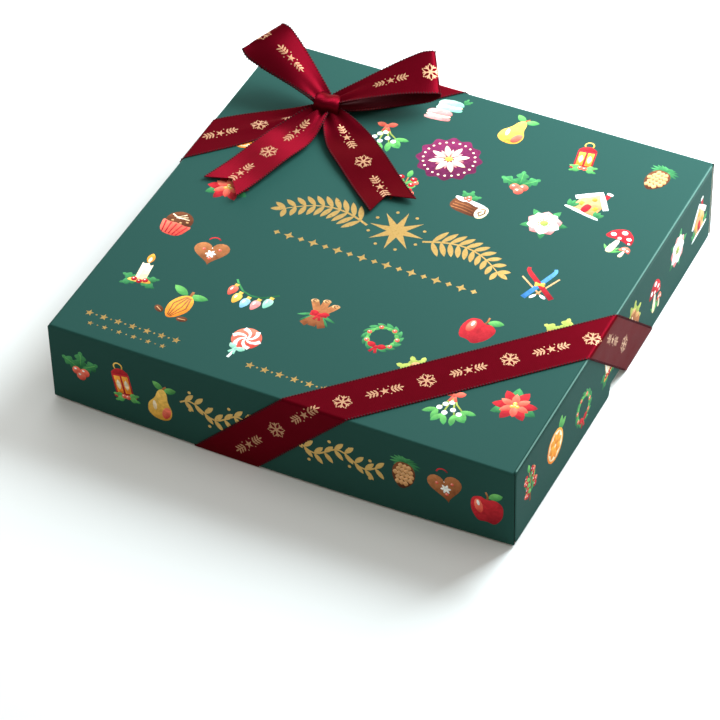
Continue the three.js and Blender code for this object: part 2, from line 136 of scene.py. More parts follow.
world = bpy.data.worlds.new("studio")
bpy.context.scene.world = world
world.use_nodes = True
world.node_tree.nodes["Background"].inputs["Color"].default_value = linear("#fffcf7")
world.node_tree.nodes["Background"].inputs["Strength"].default_value = STUDIO_GLOW


def soft_box(name, place, width, depth, power, tint="#ffffff"):
    """A studio lamp with a cloth front that looks from place to the middle of the table."""
    lamp = bpy.data.objects.new(name, bpy.data.lights.new(name, "AREA"))
    lamp.data.shape = "RECTANGLE"
    lamp.data.size = width
    lamp.data.size_y = depth
    lamp.data.energy = power
    lamp.data.color = linear(tint)[:3]
    lamp.visible_camera = False
    set_up(lamp, place, level_axes(np.array(place)))


soft_box("back_lamp", (0.13, 0.26, 0.27), width=0.24, depth=0.24, power=4.3, tint="#f0faff")
soft_box("backdrop_card", (-0.25, 0.62, 0.22), width=1.2, depth=0.4, power=5.0)
soft_box("top_lamp", (0.08, 0.12, 1.4), width=1.2, depth=1.2, power=7.0)
soft_box("fill_lamp", (0.6, -1.3, 0.6), width=0.7, depth=0.7, power=2.4, tint="#ffe2b4")


# Base: a shallow tray of bleached white board, its walls folded up and glued at the corners. It is plain, and
# all that shows of it with the lid on is a little of each side wall behind a thumb notch.
BOARD_FLOCK = 0.8
CUT_PLY = 0.02
base_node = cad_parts["base"]
base_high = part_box("base")[1]


def add_node(tree, kind, inputs=(), **settings):
    """One node with its settings; inputs maps its sockets to values, or to outputs to link."""
    made = tree.nodes.new(kind)
    for name, value in settings.items():
        setattr(made, name, value)
    for socket, value in dict(inputs).items():
        if isinstance(value, bpy.types.NodeSocket):
            tree.links.new(value, made.inputs[socket])
        else:
            made.inputs[socket].default_value = value
    return made


def grained(name, tones, grain, sockets, sheet=False, gloss=None, tooth=None, **noise):
    """A material of two tones that a noise mixes; grain is the size of its flecks in millimetres.

    The noise also spreads the roughness over gloss and raises the surface by tooth, a strength and a depth
    in millimetres. It lies in the object's own space, or on a flat sheet's UV map before that is formed.
    """
    material, tree, shader = start_material(name, sockets)
    if sheet:
        place = add_node(tree, "ShaderNodeUVMap", uv_map="flat").outputs["UV"]
    else:
        place = add_node(tree, "ShaderNodeTexCoord").outputs["Object"]
    flecks = add_node(tree, "ShaderNodeTexNoise", {"Vector": place, "Scale": 1 / (grain * MM), **noise})
    tone = add_node(tree, "ShaderNodeMix", {
        "Factor": flecks.outputs["Fac"], 6: linear(tones[0]), 7: linear(tones[1]),
    }, data_type="RGBA")
    tree.links.new(tone.outputs[2], shader.inputs["Base Color"])
    if gloss:
        dulled = add_node(tree, "ShaderNodeMapRange", {
            "Value": flecks.outputs["Fac"], "To Min": gloss[0], "To Max": gloss[1],
        })
        tree.links.new(dulled.outputs["Result"], shader.inputs["Roughness"])
    if tooth:
        raised = add_node(tree, "ShaderNodeBump", {
            "Height": flecks.outputs["Fac"], "Strength": tooth[0], "Distance": tooth[1] * MM,
        })
        tree.links.new(raised.outputs["Normal"], shader.inputs["Normal"])
    return material, tree, shader, place, tone.outputs[2]


# Bleached board: a bright, slightly cloudy white with no gloss, and a yellower ply where it is cut
board_white, tree, shader, place, white = grained(
    "bleached_board", ("#dfe0da", "#f8f8f3"), BOARD_FLOCK, {"IOR": 1.4},
    gloss=(0.6, 0.8), tooth=(0.25, 0.05), Detail=5.0, Roughness=0.65,
)
level = add_node(tree, "ShaderNodeSeparateXYZ", {"Vector": place})
cut = add_node(tree, "ShaderNodeMath", {
    0: level.outputs["Z"], 1: base_high.z - CUT_PLY * MM,
}, operation="GREATER_THAN")
plies = add_node(tree, "ShaderNodeMix", {
    "Factor": cut.outputs["Value"], 6: white, 7: linear("#cdbf9f"),
}, data_type="RGBA")
tree.links.new(plies.outputs[2], shader.inputs["Base Color"])
for material_slot in base_node.material_slots:
    material_slot.material = board_white


# Tray: one sheet of gold polyester film drawn down over a mould by vacuum. It has a well for each praline,
# grooves between the wells that stiffen its deck, and a fluted skirt that stands on the base's floor.
tray_low, tray_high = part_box("insert_tray")
DECK_TOP = tray_high.z / MM
ROW_COUNT = 4
WELL_PITCH = 38.0
WELL_HALF = 13.95
WELL_CORNER = 6.0
WELL_DEPTH = 16.0
WELL_DRAFT = 0.85
WELL_FILLET = 1.2
LIP_RADIUS = 1.2
GROOVE_DEPTH = 0.8
SKIRT_CORNER = 3.0
SKIRT_DRAFT = 0.6
FLUTE_DEPTH = 0.45
SHOULDER_LEDGE = 0.4
FILM = 0.4
FILM_STRETCH = 4.0
WELD = 0.01 * MM
CELL_STEPS = 16
RING_STEPS = 7

# Steps from a groove up to the deck (inset, corner, share of its depth), and a rib on the well's floor
GROOVE_STEPS = [(0.0, 0.0, 1.0), (0.5, 0.2, 1.0), (1.0, 0.6, 0.6), (1.5, 1.0, 0.125), (2.1, 1.6, 0.0)]
FLOOR_STEPS = [(8.4, 0.0), (7.9, 0.12), (7.0, 0.12), (6.5, 0.0), (1.0, 0.0)]

# Metallised film: a warm mirror that forming has stretched, so it is a little uneven and hazy
gold_film = grained(
    "metallised_gold_film", ("#b98a3a", "#e2bd6c"), FILM_STRETCH, {"Metallic": 1.0},
    gloss=(0.16, 0.36), tooth=(0.2, 0.1), Detail=4.0,
)[0]


def rounded_ring(half, corner, z, steps):
    """A square ring with rounded corners, anticlockwise, with the same number of points on each side."""
    along = np.linspace(-half, half, steps, endpoint=False)
    edge = np.full(steps, half)
    sides = [(edge, along), (-along, edge), (-edge, -along), (along, -edge)]
    loop = np.concatenate([np.stack(side, 1) for side in sides])
    core = np.clip(loop, corner - half, half - corner)
    away = loop - core
    reach = np.maximum(np.linalg.norm(away, axis=1, keepdims=True), 1e-9)
    return np.column_stack([core + away * corner / reach, np.full(len(loop), z)])


def ring_faces(rings, count):
    """Quads between rings of count points, stacked one after the other."""
    faces = []
    for low in range(0, (rings - 1) * count, count):
        for i in range(count):
            j = (i + 1) % count
            faces.append((low + i, low + j, low + count + j, low + count + i))
    return faces


def cap_faces(rings, count):
    """The two faces that close a stack of rings, at its first and at its last ring."""
    return [tuple(range(count - 1, -1, -1)), tuple(range((rings - 1) * count, rings * count))]


def start_nodes(name, taken, given, sizes):
    """A Geometry Nodes tree of a mesh and sizes: the tree, its inputs, and the sizes by identifier."""
    tree = bpy.data.node_groups.new(name, "GeometryNodeTree")
    tree.interface.new_socket(taken, in_out="INPUT", socket_type="NodeSocketGeometry")
    by_identifier = {}
    for label, size in sizes.items():
        kind = "NodeSocketInt" if isinstance(size, int) else "NodeSocketFloat"
        socket = tree.interface.new_socket(label, in_out="INPUT", socket_type=kind)
        by_identifier[socket.identifier] = size
    tree.interface.new_socket(given, in_out="OUTPUT", socket_type="NodeSocketGeometry")
    return tree, add_node(tree, "NodeGroupInput").outputs, by_identifier


def end_nodes(tree, instances, material, weld=0.0):
    """The end of a Geometry Nodes tree: instances made real, welded if asked, and given a material."""
    made = add_node(tree, "GeometryNodeRealizeInstances", {"Geometry": instances})
    if weld:
        made = add_node(tree, "GeometryNodeMergeByDistance", {
            "Geometry": made.outputs["Geometry"], "Distance": weld,
        })
    coated = add_node(tree, "GeometryNodeSetMaterial", {
        "Geometry": made.outputs["Geometry"], "Material": material,
    })
    add_node(tree, "NodeGroupOutput", {0: coated.outputs["Geometry"]})


def applied(made, name):
    """A plain mesh object of what the modifiers on made give; made itself is used up."""
    evaluated = made.evaluated_get(bpy.context.evaluated_depsgraph_get())
    mesh = bpy.data.meshes.new_from_object(evaluated)
    mesh.name = name
    made.modifiers.clear()
    bpy.data.objects.remove(made)
    piece = bpy.data.objects.new(name, mesh)
    bpy.context.scene.collection.objects.link(piece)
    return piece


def grown(name, seeds, tree_used, sizes):
    """What a Geometry Nodes tree makes of seeds; sizes maps its sockets' identifiers to values."""
    modifier = seeds.modifiers.new(name, "NODES")
    modifier.node_group = tree_used
    for identifier, size in sizes.items():
        modifier[identifier] = size
    return applied(seeds, name)


def smoothed(piece):
    piece.data.polygons.foreach_set("use_smooth", [True] * len(piece.data.polygons))
    return piece


# One cell of the tray, from the groove round it over the deck and the lip down to the well's floor
cell_half = WELL_PITCH / 2
quarter = np.linspace(0, math.pi / 2, RING_STEPS)
cell_rings = [(cell_half - inset, corner, -GROOVE_DEPTH * share) for inset, corner, share in GROOVE_STEPS]
for angle in quarter:
    out = LIP_RADIUS * (1 - math.sin(angle))
    cell_rings.append((WELL_HALF + out, WELL_CORNER + out, -LIP_RADIUS * (1 - math.cos(angle))))
floor_half = WELL_HALF - WELL_DRAFT
for angle in quarter:
    inset = WELL_FILLET * (1 - math.cos(angle))
    rise = WELL_FILLET * (1 - math.sin(angle))
    cell_rings.append((floor_half - inset, WELL_CORNER - WELL_DRAFT - inset, rise - WELL_DEPTH))
cell_rings += [(half, half / 2, rise - WELL_DEPTH) for half, rise in FLOOR_STEPS]
cell_count = 4 * CELL_STEPS
cell_points = np.concatenate([
    rounded_ring(half, corner, DECK_TOP + z, CELL_STEPS) for half, corner, z in cell_rings
])
cell_faces = ring_faces(len(cell_rings), cell_count) + cap_faces(len(cell_rings), cell_count)[1:]
cell = put_mesh("tray_cell", cell_points * MM, cell_faces)

# Wells by Geometry Nodes: the cell set out in rows at the wells' pitch and joined to its neighbours
well_tree, given, well_sizes = start_nodes("tray_wells", "Cell", "Wells", {
    "Rows": ROW_COUNT, "Pitch": WELL_PITCH * MM,
})
gaps = add_node(well_tree, "ShaderNodeMath", {0: given["Rows"], 1: 1.0}, operation="SUBTRACT")
span = add_node(well_tree, "ShaderNodeMath", {
    0: gaps.outputs["Value"], 1: given["Pitch"],
}, operation="MULTIPLY")
middles = add_node(well_tree, "GeometryNodeMeshGrid", {
    "Size X": span.outputs["Value"], "Size Y": span.outputs["Value"],
    "Vertices X": given["Rows"], "Vertices Y": given["Rows"],
})
set_out = add_node(well_tree, "GeometryNodeInstanceOnPoints", {
    "Points": middles.outputs["Mesh"], "Instance": given["Cell"],
})
end_nodes(well_tree, set_out.outputs["Instances"], gold_film, WELD)
wells = grown("tray_wells", cell, well_tree, well_sizes)

# Skirt: from the last groove over a rounded shoulder and down in shallow flutes to a plain foot
deck_half = ROW_COUNT * WELL_PITCH / 2
foot_half = tray_high.x / MM
head_half = foot_half - SKIRT_DRAFT
shoulder = head_half - deck_half - SHOULDER_LEDGE
skirt_rings = [(deck_half, 0.0, DECK_TOP - GROOVE_DEPTH, 0.0), (deck_half + 0.3, 1.0, DECK_TOP - 0.1, 0.0)]
for angle in quarter:
    out = head_half - shoulder * (1 - math.sin(angle))
    skirt_rings.append((out, SKIRT_CORNER, DECK_TOP - shoulder * (1 - math.cos(angle)), 0.0))
skirt_foot = tray_low.z / MM
for share, flute in ((0.85, 1.0), (0.1, 1.0), (0.04, 0.0), (0.0, 0.0)):
    z = skirt_foot + share * (DECK_TOP - skirt_foot)
    skirt_rings.append((foot_half - SKIRT_DRAFT * share, SKIRT_CORNER, z, flute))
skirt_steps = ROW_COUNT * CELL_STEPS
skirt_waves = 0.5 - 0.5 * np.cos(np.arange(4 * skirt_steps) * math.pi / 4)
skirt_points = []
for half, corner, z, flute in skirt_rings:
    ring = rounded_ring(half, corner, z, skirt_steps)
    ring[:, :2] *= 1 - (flute * FLUTE_DEPTH / half) * skirt_waves[:, None]
    skirt_points.append(ring)
skirt_faces = ring_faces(len(skirt_rings), 4 * skirt_steps)
skirt = put_mesh("tray_skirt", np.concatenate(skirt_points) * MM, skirt_faces)
skirt.data.flip_normals()

tray_mesh = bmesh.new()
for part in (wells, skirt):
    tray_mesh.from_mesh(part.data)
    bpy.data.objects.remove(part)
bmesh.ops.remove_doubles(tray_mesh, verts=tray_mesh.verts, dist=WELD)
sheet = put_mesh("tray_sheet", [], [], [gold_film])
tray_mesh.to_mesh(sheet.data)
tray_mesh.free()
film = sheet.modifiers.new("film", "SOLIDIFY")
film.thickness = FILM * MM
film.offset = -1.0
tray = smoothed(applied(sheet, "formed_tray"))
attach(tray, "tray")
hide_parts("insert_tray")


# Pralines: moulded chocolate shells with soft fillings, four designs set out in diagonal rows. They come
# glossy out of their moulds, and then get a thin piped line or a pinch of chopped nuts.
PRALINE_RADIUS = 12.75
PRALINE_HEIGHT = 14.5
PRALINE_FOOT = DECK_TOP - WELL_DEPTH + 0.2
PRALINE_STEPS = 100
PIPED_RADIUS = 0.65
PIPED_SIDES = 8
MOTTLE = 3.0
DIMPLE = 0.9
NUT_SIZE = 1.1
NUT_DENSITY = 0.16
NUT_LOWEST = 11.0
NUT_SEED = 4


def chocolate(name, dark, pale):
    """Tempered chocolate: a soft gloss from the mould, mottled a little where the fat has set unevenly."""
    material, tree, shader, place, _ = grained(
        name, (dark, pale), MOTTLE, {"IOR": 1.45}, gloss=(0.24, 0.48), Detail=6.0, Roughness=0.6,
    )
    dimples = add_node(tree, "ShaderNodeTexNoise", {"Vector": place, "Scale": 1 / (DIMPLE * MM)})
    dented = add_node(tree, "ShaderNodeBump", {
        "Height": dimples.outputs["Fac"], "Strength": 0.15, "Distance": 0.1 * MM,
    })
    tree.links.new(dented.outputs["Normal"], shader.inputs["Normal"])
    return material


dark_chocolate = chocolate("dark_chocolate", "#22100a", "#3d2013")
milk_chocolate = chocolate("milk_chocolate", "#5c331b", "#83502d")
white_chocolate = chocolate("white_chocolate", "#e2cd9f", "#f5e7c6")
roast_nut = chocolate("roast_hazelnut", "#8f5a2b", "#dcaa6c")


def square_outline(angle):
    return 0.92 * (np.abs(np.cos(angle)) ** 6 + np.abs(np.sin(angle)) ** 6) ** (-1 / 6)


def fluted_outline(angle):
    return 0.95 + 0.05 * np.cos(10 * angle)


def triangle_outline(angle):
    return 0.87 + 0.13 * np.cos(3 * (angle - math.pi / 2))


def oval_outline(angle):
    return 0.8 / np.hypot(0.8 * np.cos(angle), np.sin(angle))


def eased(points, rounds=3):
    """An open line whose corners are cut round; its ends stay."""
    line = np.asarray(points, float)
    for _ in range(rounds):
        first, second = line[:-1], line[1:]
        cuts = np.stack([0.75 * first + 0.25 * second, 0.25 * first + 0.75 * second], 1)
        line = np.concatenate([line[:1], cuts.reshape(-1, line.shape[1]), line[-1:]])
    return line


def sideways(line):
    """Unit vectors that point to the left of a line in the plane, one at each of its points."""
    run = np.gradient(line, axis=0)
    return np.stack([-run[:, 1], run[:, 0]], 1) / np.linalg.norm(run, axis=1)[:, None]


def piped(path, z):
    """Points and faces of a thin line of chocolate piped along path, half sunk at height z."""
    path = eased(path, 2)
    side = sideways(path)
    share = np.linspace(-1, 1, len(path))
    thick = PIPED_RADIUS * np.maximum(1 - share ** 12, 0.02) ** 0.5
    rings = []
    for angle in np.linspace(0, 2 * math.pi, PIPED_SIDES, endpoint=False):
        flat = path + side * (thick * math.cos(angle))[:, None]
        rings.append(np.column_stack([flat, z + 0.8 * thick * math.sin(angle)]))
    faces = ring_faces(len(path), PIPED_SIDES) + cap_faces(len(path), PIPED_SIDES)
    return np.stack(rings, 1).reshape(-1, 3), [face[::-1] for face in faces]


zigzag = [(2.1 * i - 8.4, 7.6 if i % 2 else -7.6) for i in range(9)]
tiers = [((1 if i % 2 else -1) * (6.4 - 1.05 * i), 2.1 * i - 4.6) for i in range(6)]
wave = [(x, 2.6 * math.sin(0.75 * x)) for x in np.linspace(-6.6, 6.6, 21)]
square_steps = [(0.9, 0), (0.97, 0), (1, 0.1), (0.93, 0.8), (0.88, 0.91), (0.8, 0.93), (0.4, 0.94)]
fluted_steps = [(0.88, 0), (0.94, 0), (1, 0.15), (0.93, 0.5), (0.66, 0.83), (0.3, 0.98)]
triangle_steps = [(0.9, 0), (0.97, 0), (1, 0.1), (0.9, 0.78), (0.83, 0.88), (0.75, 0.9), (0.4, 0.91)]
oval_steps = [(0.86, 0), (0.93, 0), (1, 0.2), (0.92, 0.55), (0.7, 0.83), (0.4, 0.94)]
designs = [
    (square_outline, square_steps, dark_chocolate, "chocolate_dark", zigzag, milk_chocolate),
    (fluted_outline, fluted_steps, milk_chocolate, "chocolate_milk", None, roast_nut),
    (triangle_outline, triangle_steps, white_chocolate, "chocolate_white", tiers, dark_chocolate),
    (oval_outline, oval_steps, dark_chocolate, "chocolate_dark", wave, white_chocolate),
]

# Chopped nuts by Geometry Nodes: crumbs of uneven size scattered over the top of a praline
nut_tree, given, nut_sizes = start_nodes("chopped_nuts", "Shell", "Nuts", {
    "Crumb": NUT_SIZE * MM, "Density": NUT_DENSITY / MM ** 2, "Seed": NUT_SEED,
    "Lowest": (PRALINE_FOOT + NUT_LOWEST) * MM,
})
position = add_node(nut_tree, "GeometryNodeInputPosition")
height = add_node(nut_tree, "ShaderNodeSeparateXYZ", {"Vector": position.outputs["Position"]})
on_top = add_node(nut_tree, "ShaderNodeMath", {
    0: height.outputs["Z"], 1: given["Lowest"],
}, operation="GREATER_THAN")
spots = add_node(nut_tree, "GeometryNodeDistributePointsOnFaces", {
    "Mesh": given["Shell"], "Selection": on_top.outputs["Value"],
    "Density": given["Density"], "Seed": given["Seed"],
})
crumb = add_node(nut_tree, "GeometryNodeMeshIcoSphere", {"Radius": 0.5, "Subdivisions": 2})
tumbled = add_node(nut_tree, "FunctionNodeRandomValue", {
    "Max": (6.28, 6.28, 6.28), "Seed": given["Seed"],
}, data_type="FLOAT_VECTOR")
shares = add_node(nut_tree, "FunctionNodeRandomValue", {
    "Min": (0.7, 0.5, 0.35), "Max": (1.4, 1.0, 0.7), "Seed": given["Seed"],
}, data_type="FLOAT_VECTOR")
crumb_size = add_node(nut_tree, "ShaderNodeVectorMath", {
    0: shares.outputs["Value"], "Scale": given["Crumb"],
}, operation="SCALE")
scattered = add_node(nut_tree, "GeometryNodeInstanceOnPoints", {
    "Points": spots.outputs["Points"], "Instance": crumb.outputs["Mesh"],
    "Rotation": tumbled.outputs["Value"], "Scale": crumb_size.outputs["Vector"],
})
end_nodes(nut_tree, scattered.outputs["Instances"], roast_nut)

praline_angle = np.linspace(0, 2 * math.pi, PRALINE_STEPS, endpoint=False)
middle = (ROW_COUNT - 1) / 2
for index in range(ROW_COUNT ** 2):
    row, column = divmod(index, ROW_COUNT)
    outline, steps, shell_material, slot, line, trim = designs[(row + column) % len(designs)]
    place = np.array([(column - middle) * WELL_PITCH, (middle - row) * WELL_PITCH, 0])
    profile = eased([(0.05, 0), *steps, (0.02, steps[-1][1] + 0.01)])
    radius = PRALINE_RADIUS * outline(praline_angle)
    points = np.concatenate([
        np.column_stack([
            scale * radius * np.cos(praline_angle), scale * radius * np.sin(praline_angle),
            np.full(PRALINE_STEPS, PRALINE_FOOT + rise * PRALINE_HEIGHT),
        ]) for scale, rise in profile
    ])
    faces = ring_faces(len(profile), PRALINE_STEPS) + cap_faces(len(profile), PRALINE_STEPS)
    trim_slots = [0] * len(faces)
    if line:
        line_points, line_faces = piped(line, PRALINE_FOOT + profile[-1][1] * PRALINE_HEIGHT)
        faces += [tuple(len(points) + i for i in face) for face in line_faces]
        points = np.concatenate([points, line_points])
        trim_slots += [1] * len(line_faces)
    number = f"{index + 1:02d}"
    praline = put_mesh("moulded_praline_" + number, (points + place) * MM, faces, [shell_material, trim])
    praline.data.polygons.foreach_set("material_index", trim_slots)
    smoothed(praline)
    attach(praline, "praline_" + number)
    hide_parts("praline_" + number)
    if not line:
        shell = put_mesh("nut_seeds", (points + place) * MM, faces)
        nuts = grown("chopped_nuts_" + number, shell, nut_tree, nut_sizes)
        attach(nuts, "praline_" + number)


# Pad: layers of glassine paper embossed together into rows of small pillows and cut square. It lies loose on
# the tray and keeps the pralines in their wells.
pad_low, pad_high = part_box("cushion_pad")
PAD_PILLOWS = 8
PILLOW_STEPS = 12
PILLOW_SWELL = 0.6
PAD_SEAM = 0.42
PAD_RIM = 0.35
PAD_HEM = 0.12
PAPER_CRINKLE = 1.6

# Glassine: thin, smooth, creamy paper with a low sheen, crinkled where it was pressed
glassine = grained(
    "embossed_glassine", ("#e3d7ba", "#faf4e4"), PAPER_CRINKLE, {"IOR": 1.4},
    gloss=(0.42, 0.62), tooth=(0.35, 0.15), Detail=5.0, Distortion=1.2,
)[0]

pad_cells = PAD_PILLOWS * PILLOW_STEPS
pad_line = np.linspace(0, 1, pad_cells + 1)
pad_x, pad_y = np.meshgrid(pad_line, pad_line, indexing="ij")
swell = np.abs(np.sin(pad_x * PAD_PILLOWS * math.pi) * np.sin(pad_y * PAD_PILLOWS * math.pi)) ** PILLOW_SWELL
inside = np.minimum.reduce([pad_x, 1 - pad_x, pad_y, 1 - pad_y]) * PAD_PILLOWS
thick = PAD_SEAM + (1 - PAD_SEAM) * swell
thick = PAD_RIM + (thick - PAD_RIM) * np.clip(inside / PAD_HEM, 0, 1)
corner_x = pad_low.x + (pad_high.x - pad_low.x) * pad_x
corner_y = pad_low.y + (pad_high.y - pad_low.y) * pad_y
pad_top = np.stack([corner_x, corner_y, pad_low.z + (pad_high.z - pad_low.z) * thick], 2).reshape(-1, 3)
pad_under = pad_top.copy()
pad_under[:, 2] = pad_low.z
row_length = pad_cells + 1
under = len(pad_top)
pad_faces = []
for i in range(pad_cells):
    for j in range(pad_cells):
        first = i * row_length + j
        face = (first, first + row_length, first + row_length + 1, first + 1)
        pad_faces += [face, tuple(under + corner for corner in reversed(face))]
rim = [i * row_length for i in range(pad_cells)]
rim += [pad_cells * row_length + j for j in range(pad_cells)]
rim += [i * row_length + pad_cells for i in range(pad_cells, 0, -1)]
rim += list(range(pad_cells, 0, -1))
for i, corner in enumerate(rim):
    after = rim[(i + 1) % len(rim)]
    pad_faces.append((after, corner, under + corner, under + after))
pad = smoothed(put_mesh("embossed_pad", np.concatenate([pad_top, pad_under]), pad_faces, [glassine]))
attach(pad, "pad")
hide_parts("cushion_pad")


# Lid: one blank of printed folding boxboard with a matt film on its face, folded down on four sides. The
# side walls' glue tabs turn in behind the front and back walls, and each side wall has a thumb notch.
_, lid_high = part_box("lid")
LID_HALF = lid_high.x / MM
LID_TOP = lid_high.z / MM
LID_RIM = 0.65
CARD = 0.6
FOLD_RADIUS = 0.8
FOLD_STEPS = 6
TAB_LENGTH = 17.0
TAB_GAP = 0.3
TAB_INSET = 1.5
TAB_CHAMFER = 2.0
NOTCH_WIDTH = 15.0
NOTCH_DEPTH = 4.3
NOTCH_SLOPE = 1.6
FRONT_BOW = 1.7
SIDE_BOW = 0.4
BOW_GROWTH = 1.3
RIM_STEPS = 12
TAB_STEPS = 8
WALL_COLUMNS = 23
WALL_ROWS = 4
LID_GREEN = "#214640"
# Colour and width of the painted highlight strip along the side folds
FOLD_HIGHLIGHT_GREEN = "#587a72"
FOLD_HIGHLIGHT_WIDTH = 0.55
PAINT_WASH = 2.38
FILM_PEEL = 1.11
FOIL_GRAIN = 0.7
PLY_GRAIN = 0.5

fold_line = LID_HALF - FOLD_RADIUS
fold_arc = FOLD_RADIUS * math.pi / 2
wall_run = fold_arc + LID_TOP - FOLD_RADIUS - LID_RIM
blank_edge = fold_line + wall_run
tab_fold = LID_HALF - CARD - TAB_GAP - FOLD_RADIUS
tab_end = tab_fold + fold_arc + TAB_LENGTH


def wall_profile(run, base, lift):
    """Distance from the lid's middle and height of a point that lies run past the fold line."""
    turn = FOLD_RADIUS + base
    radius = FOLD_RADIUS + lift
    arc = turn * math.pi / 2
    wall_end = arc + LID_TOP - FOLD_RADIUS - LID_RIM
    rim_turn = CARD / 2 + base
    rim_radius = CARD / 2 + lift
    rim_end = wall_end + rim_turn * math.pi
    angle = np.clip(run / turn, 0, math.pi / 2)
    rim_angle = np.clip((run - wall_end) / rim_turn, 0, math.pi)
    top = run <= 0
    folding = ~top & (run <= arc)
    wall = (run > arc) & (run <= wall_end)
    rim = (run > wall_end) & (run <= rim_end)
    cases = [top, folding, wall, rim]
    out = np.select(cases, [
        fold_line + run,
        fold_line + radius * np.sin(angle),
        LID_HALF + lift,
        LID_HALF - CARD / 2 + rim_radius * np.cos(rim_angle),
    ], LID_HALF - CARD - lift)
    z = np.select(cases, [
        LID_TOP + lift,
        LID_TOP - FOLD_RADIUS + radius * np.cos(angle),
        LID_TOP - FOLD_RADIUS - (run - arc),
        LID_RIM - rim_radius * np.sin(rim_angle),
    ], LID_RIM + run - rim_end)
    return out, z


def wall_bow(along, z, most):
    """How far a wall's board bulges outwards between its corners, most at the rim."""
    share = np.clip((LID_TOP - z) / (LID_TOP - LID_RIM), 0, 1)
    return most * np.clip(1 - (along / LID_HALF) ** 2, 0, 1) * share ** BOW_GROWTH


def fold_blank(points, base=0.0, lift=0.0):
    """Places of points of the flat blank on the folded lid, lift above its face, in millimetres."""
    u, v = points[:, 0], points[:, 1]
    run_x, run_y = np.abs(u) - fold_line, np.abs(v) - fold_line
    side_out, side_z = wall_profile(run_x, base, lift)
    front_out, front_z = wall_profile(run_y, base, lift)
    on_front = (run_y > 0) & (np.abs(u) <= LID_HALF + 0.01)
    on_side = (run_x > 0) & ~on_front
    past = np.clip(np.abs(v) - tab_fold, 0, None) * np.clip((run_x - fold_arc) / TAB_INSET, 0, 1)
    tab_angle = np.clip(past / FOLD_RADIUS, 0, math.pi / 2)
    tab_radius = FOLD_RADIUS + lift
    tab_run = np.clip(past - fold_arc, 0, None)
    side_along = np.where(past > 0, tab_fold + tab_radius * np.sin(tab_angle), np.abs(v))
    side_in = np.where(past > 0, tab_radius * (1 - np.cos(tab_angle)) + tab_run, 0)
    side_out = side_out + wall_bow(np.abs(v), side_z, SIDE_BOW) - side_in
    front_out = front_out + wall_bow(np.abs(u), front_z, FRONT_BOW)
    x = np.where(on_side, np.sign(u) * side_out, u)
    y = np.where(on_side, np.sign(v) * side_along, np.where(on_front, np.sign(v) * front_out, v))
    z = np.where(on_side, side_z, np.where(on_front, front_z, LID_TOP + lift))
    return np.stack([x, y, z], 1)


def keep_flat(mesh, flat):
    """Store each corner's place on the flat sheet, in metres, as the UV map that its materials read."""
    corners = np.empty(len(mesh.loops), int)
    mesh.loops.foreach_get("vertex_index", corners)
    layer = mesh.uv_layers.new(name="flat", do_init=False)
    layer.data.foreach_set("uv", (flat[corners] * MM).ravel())


def twice_area(loop):
    """Twice the area of a loop in the plane, below zero if it runs clockwise."""
    ahead = np.roll(loop, -1, axis=0)
    return np.sum(loop[:, 0] * ahead[:, 1] - ahead[:, 0] * loop[:, 1])


# The direction on a sheet in which each paint goes from its shaded to its light tone
PAINT_SLANT = np.array([-0.5, 0.86])


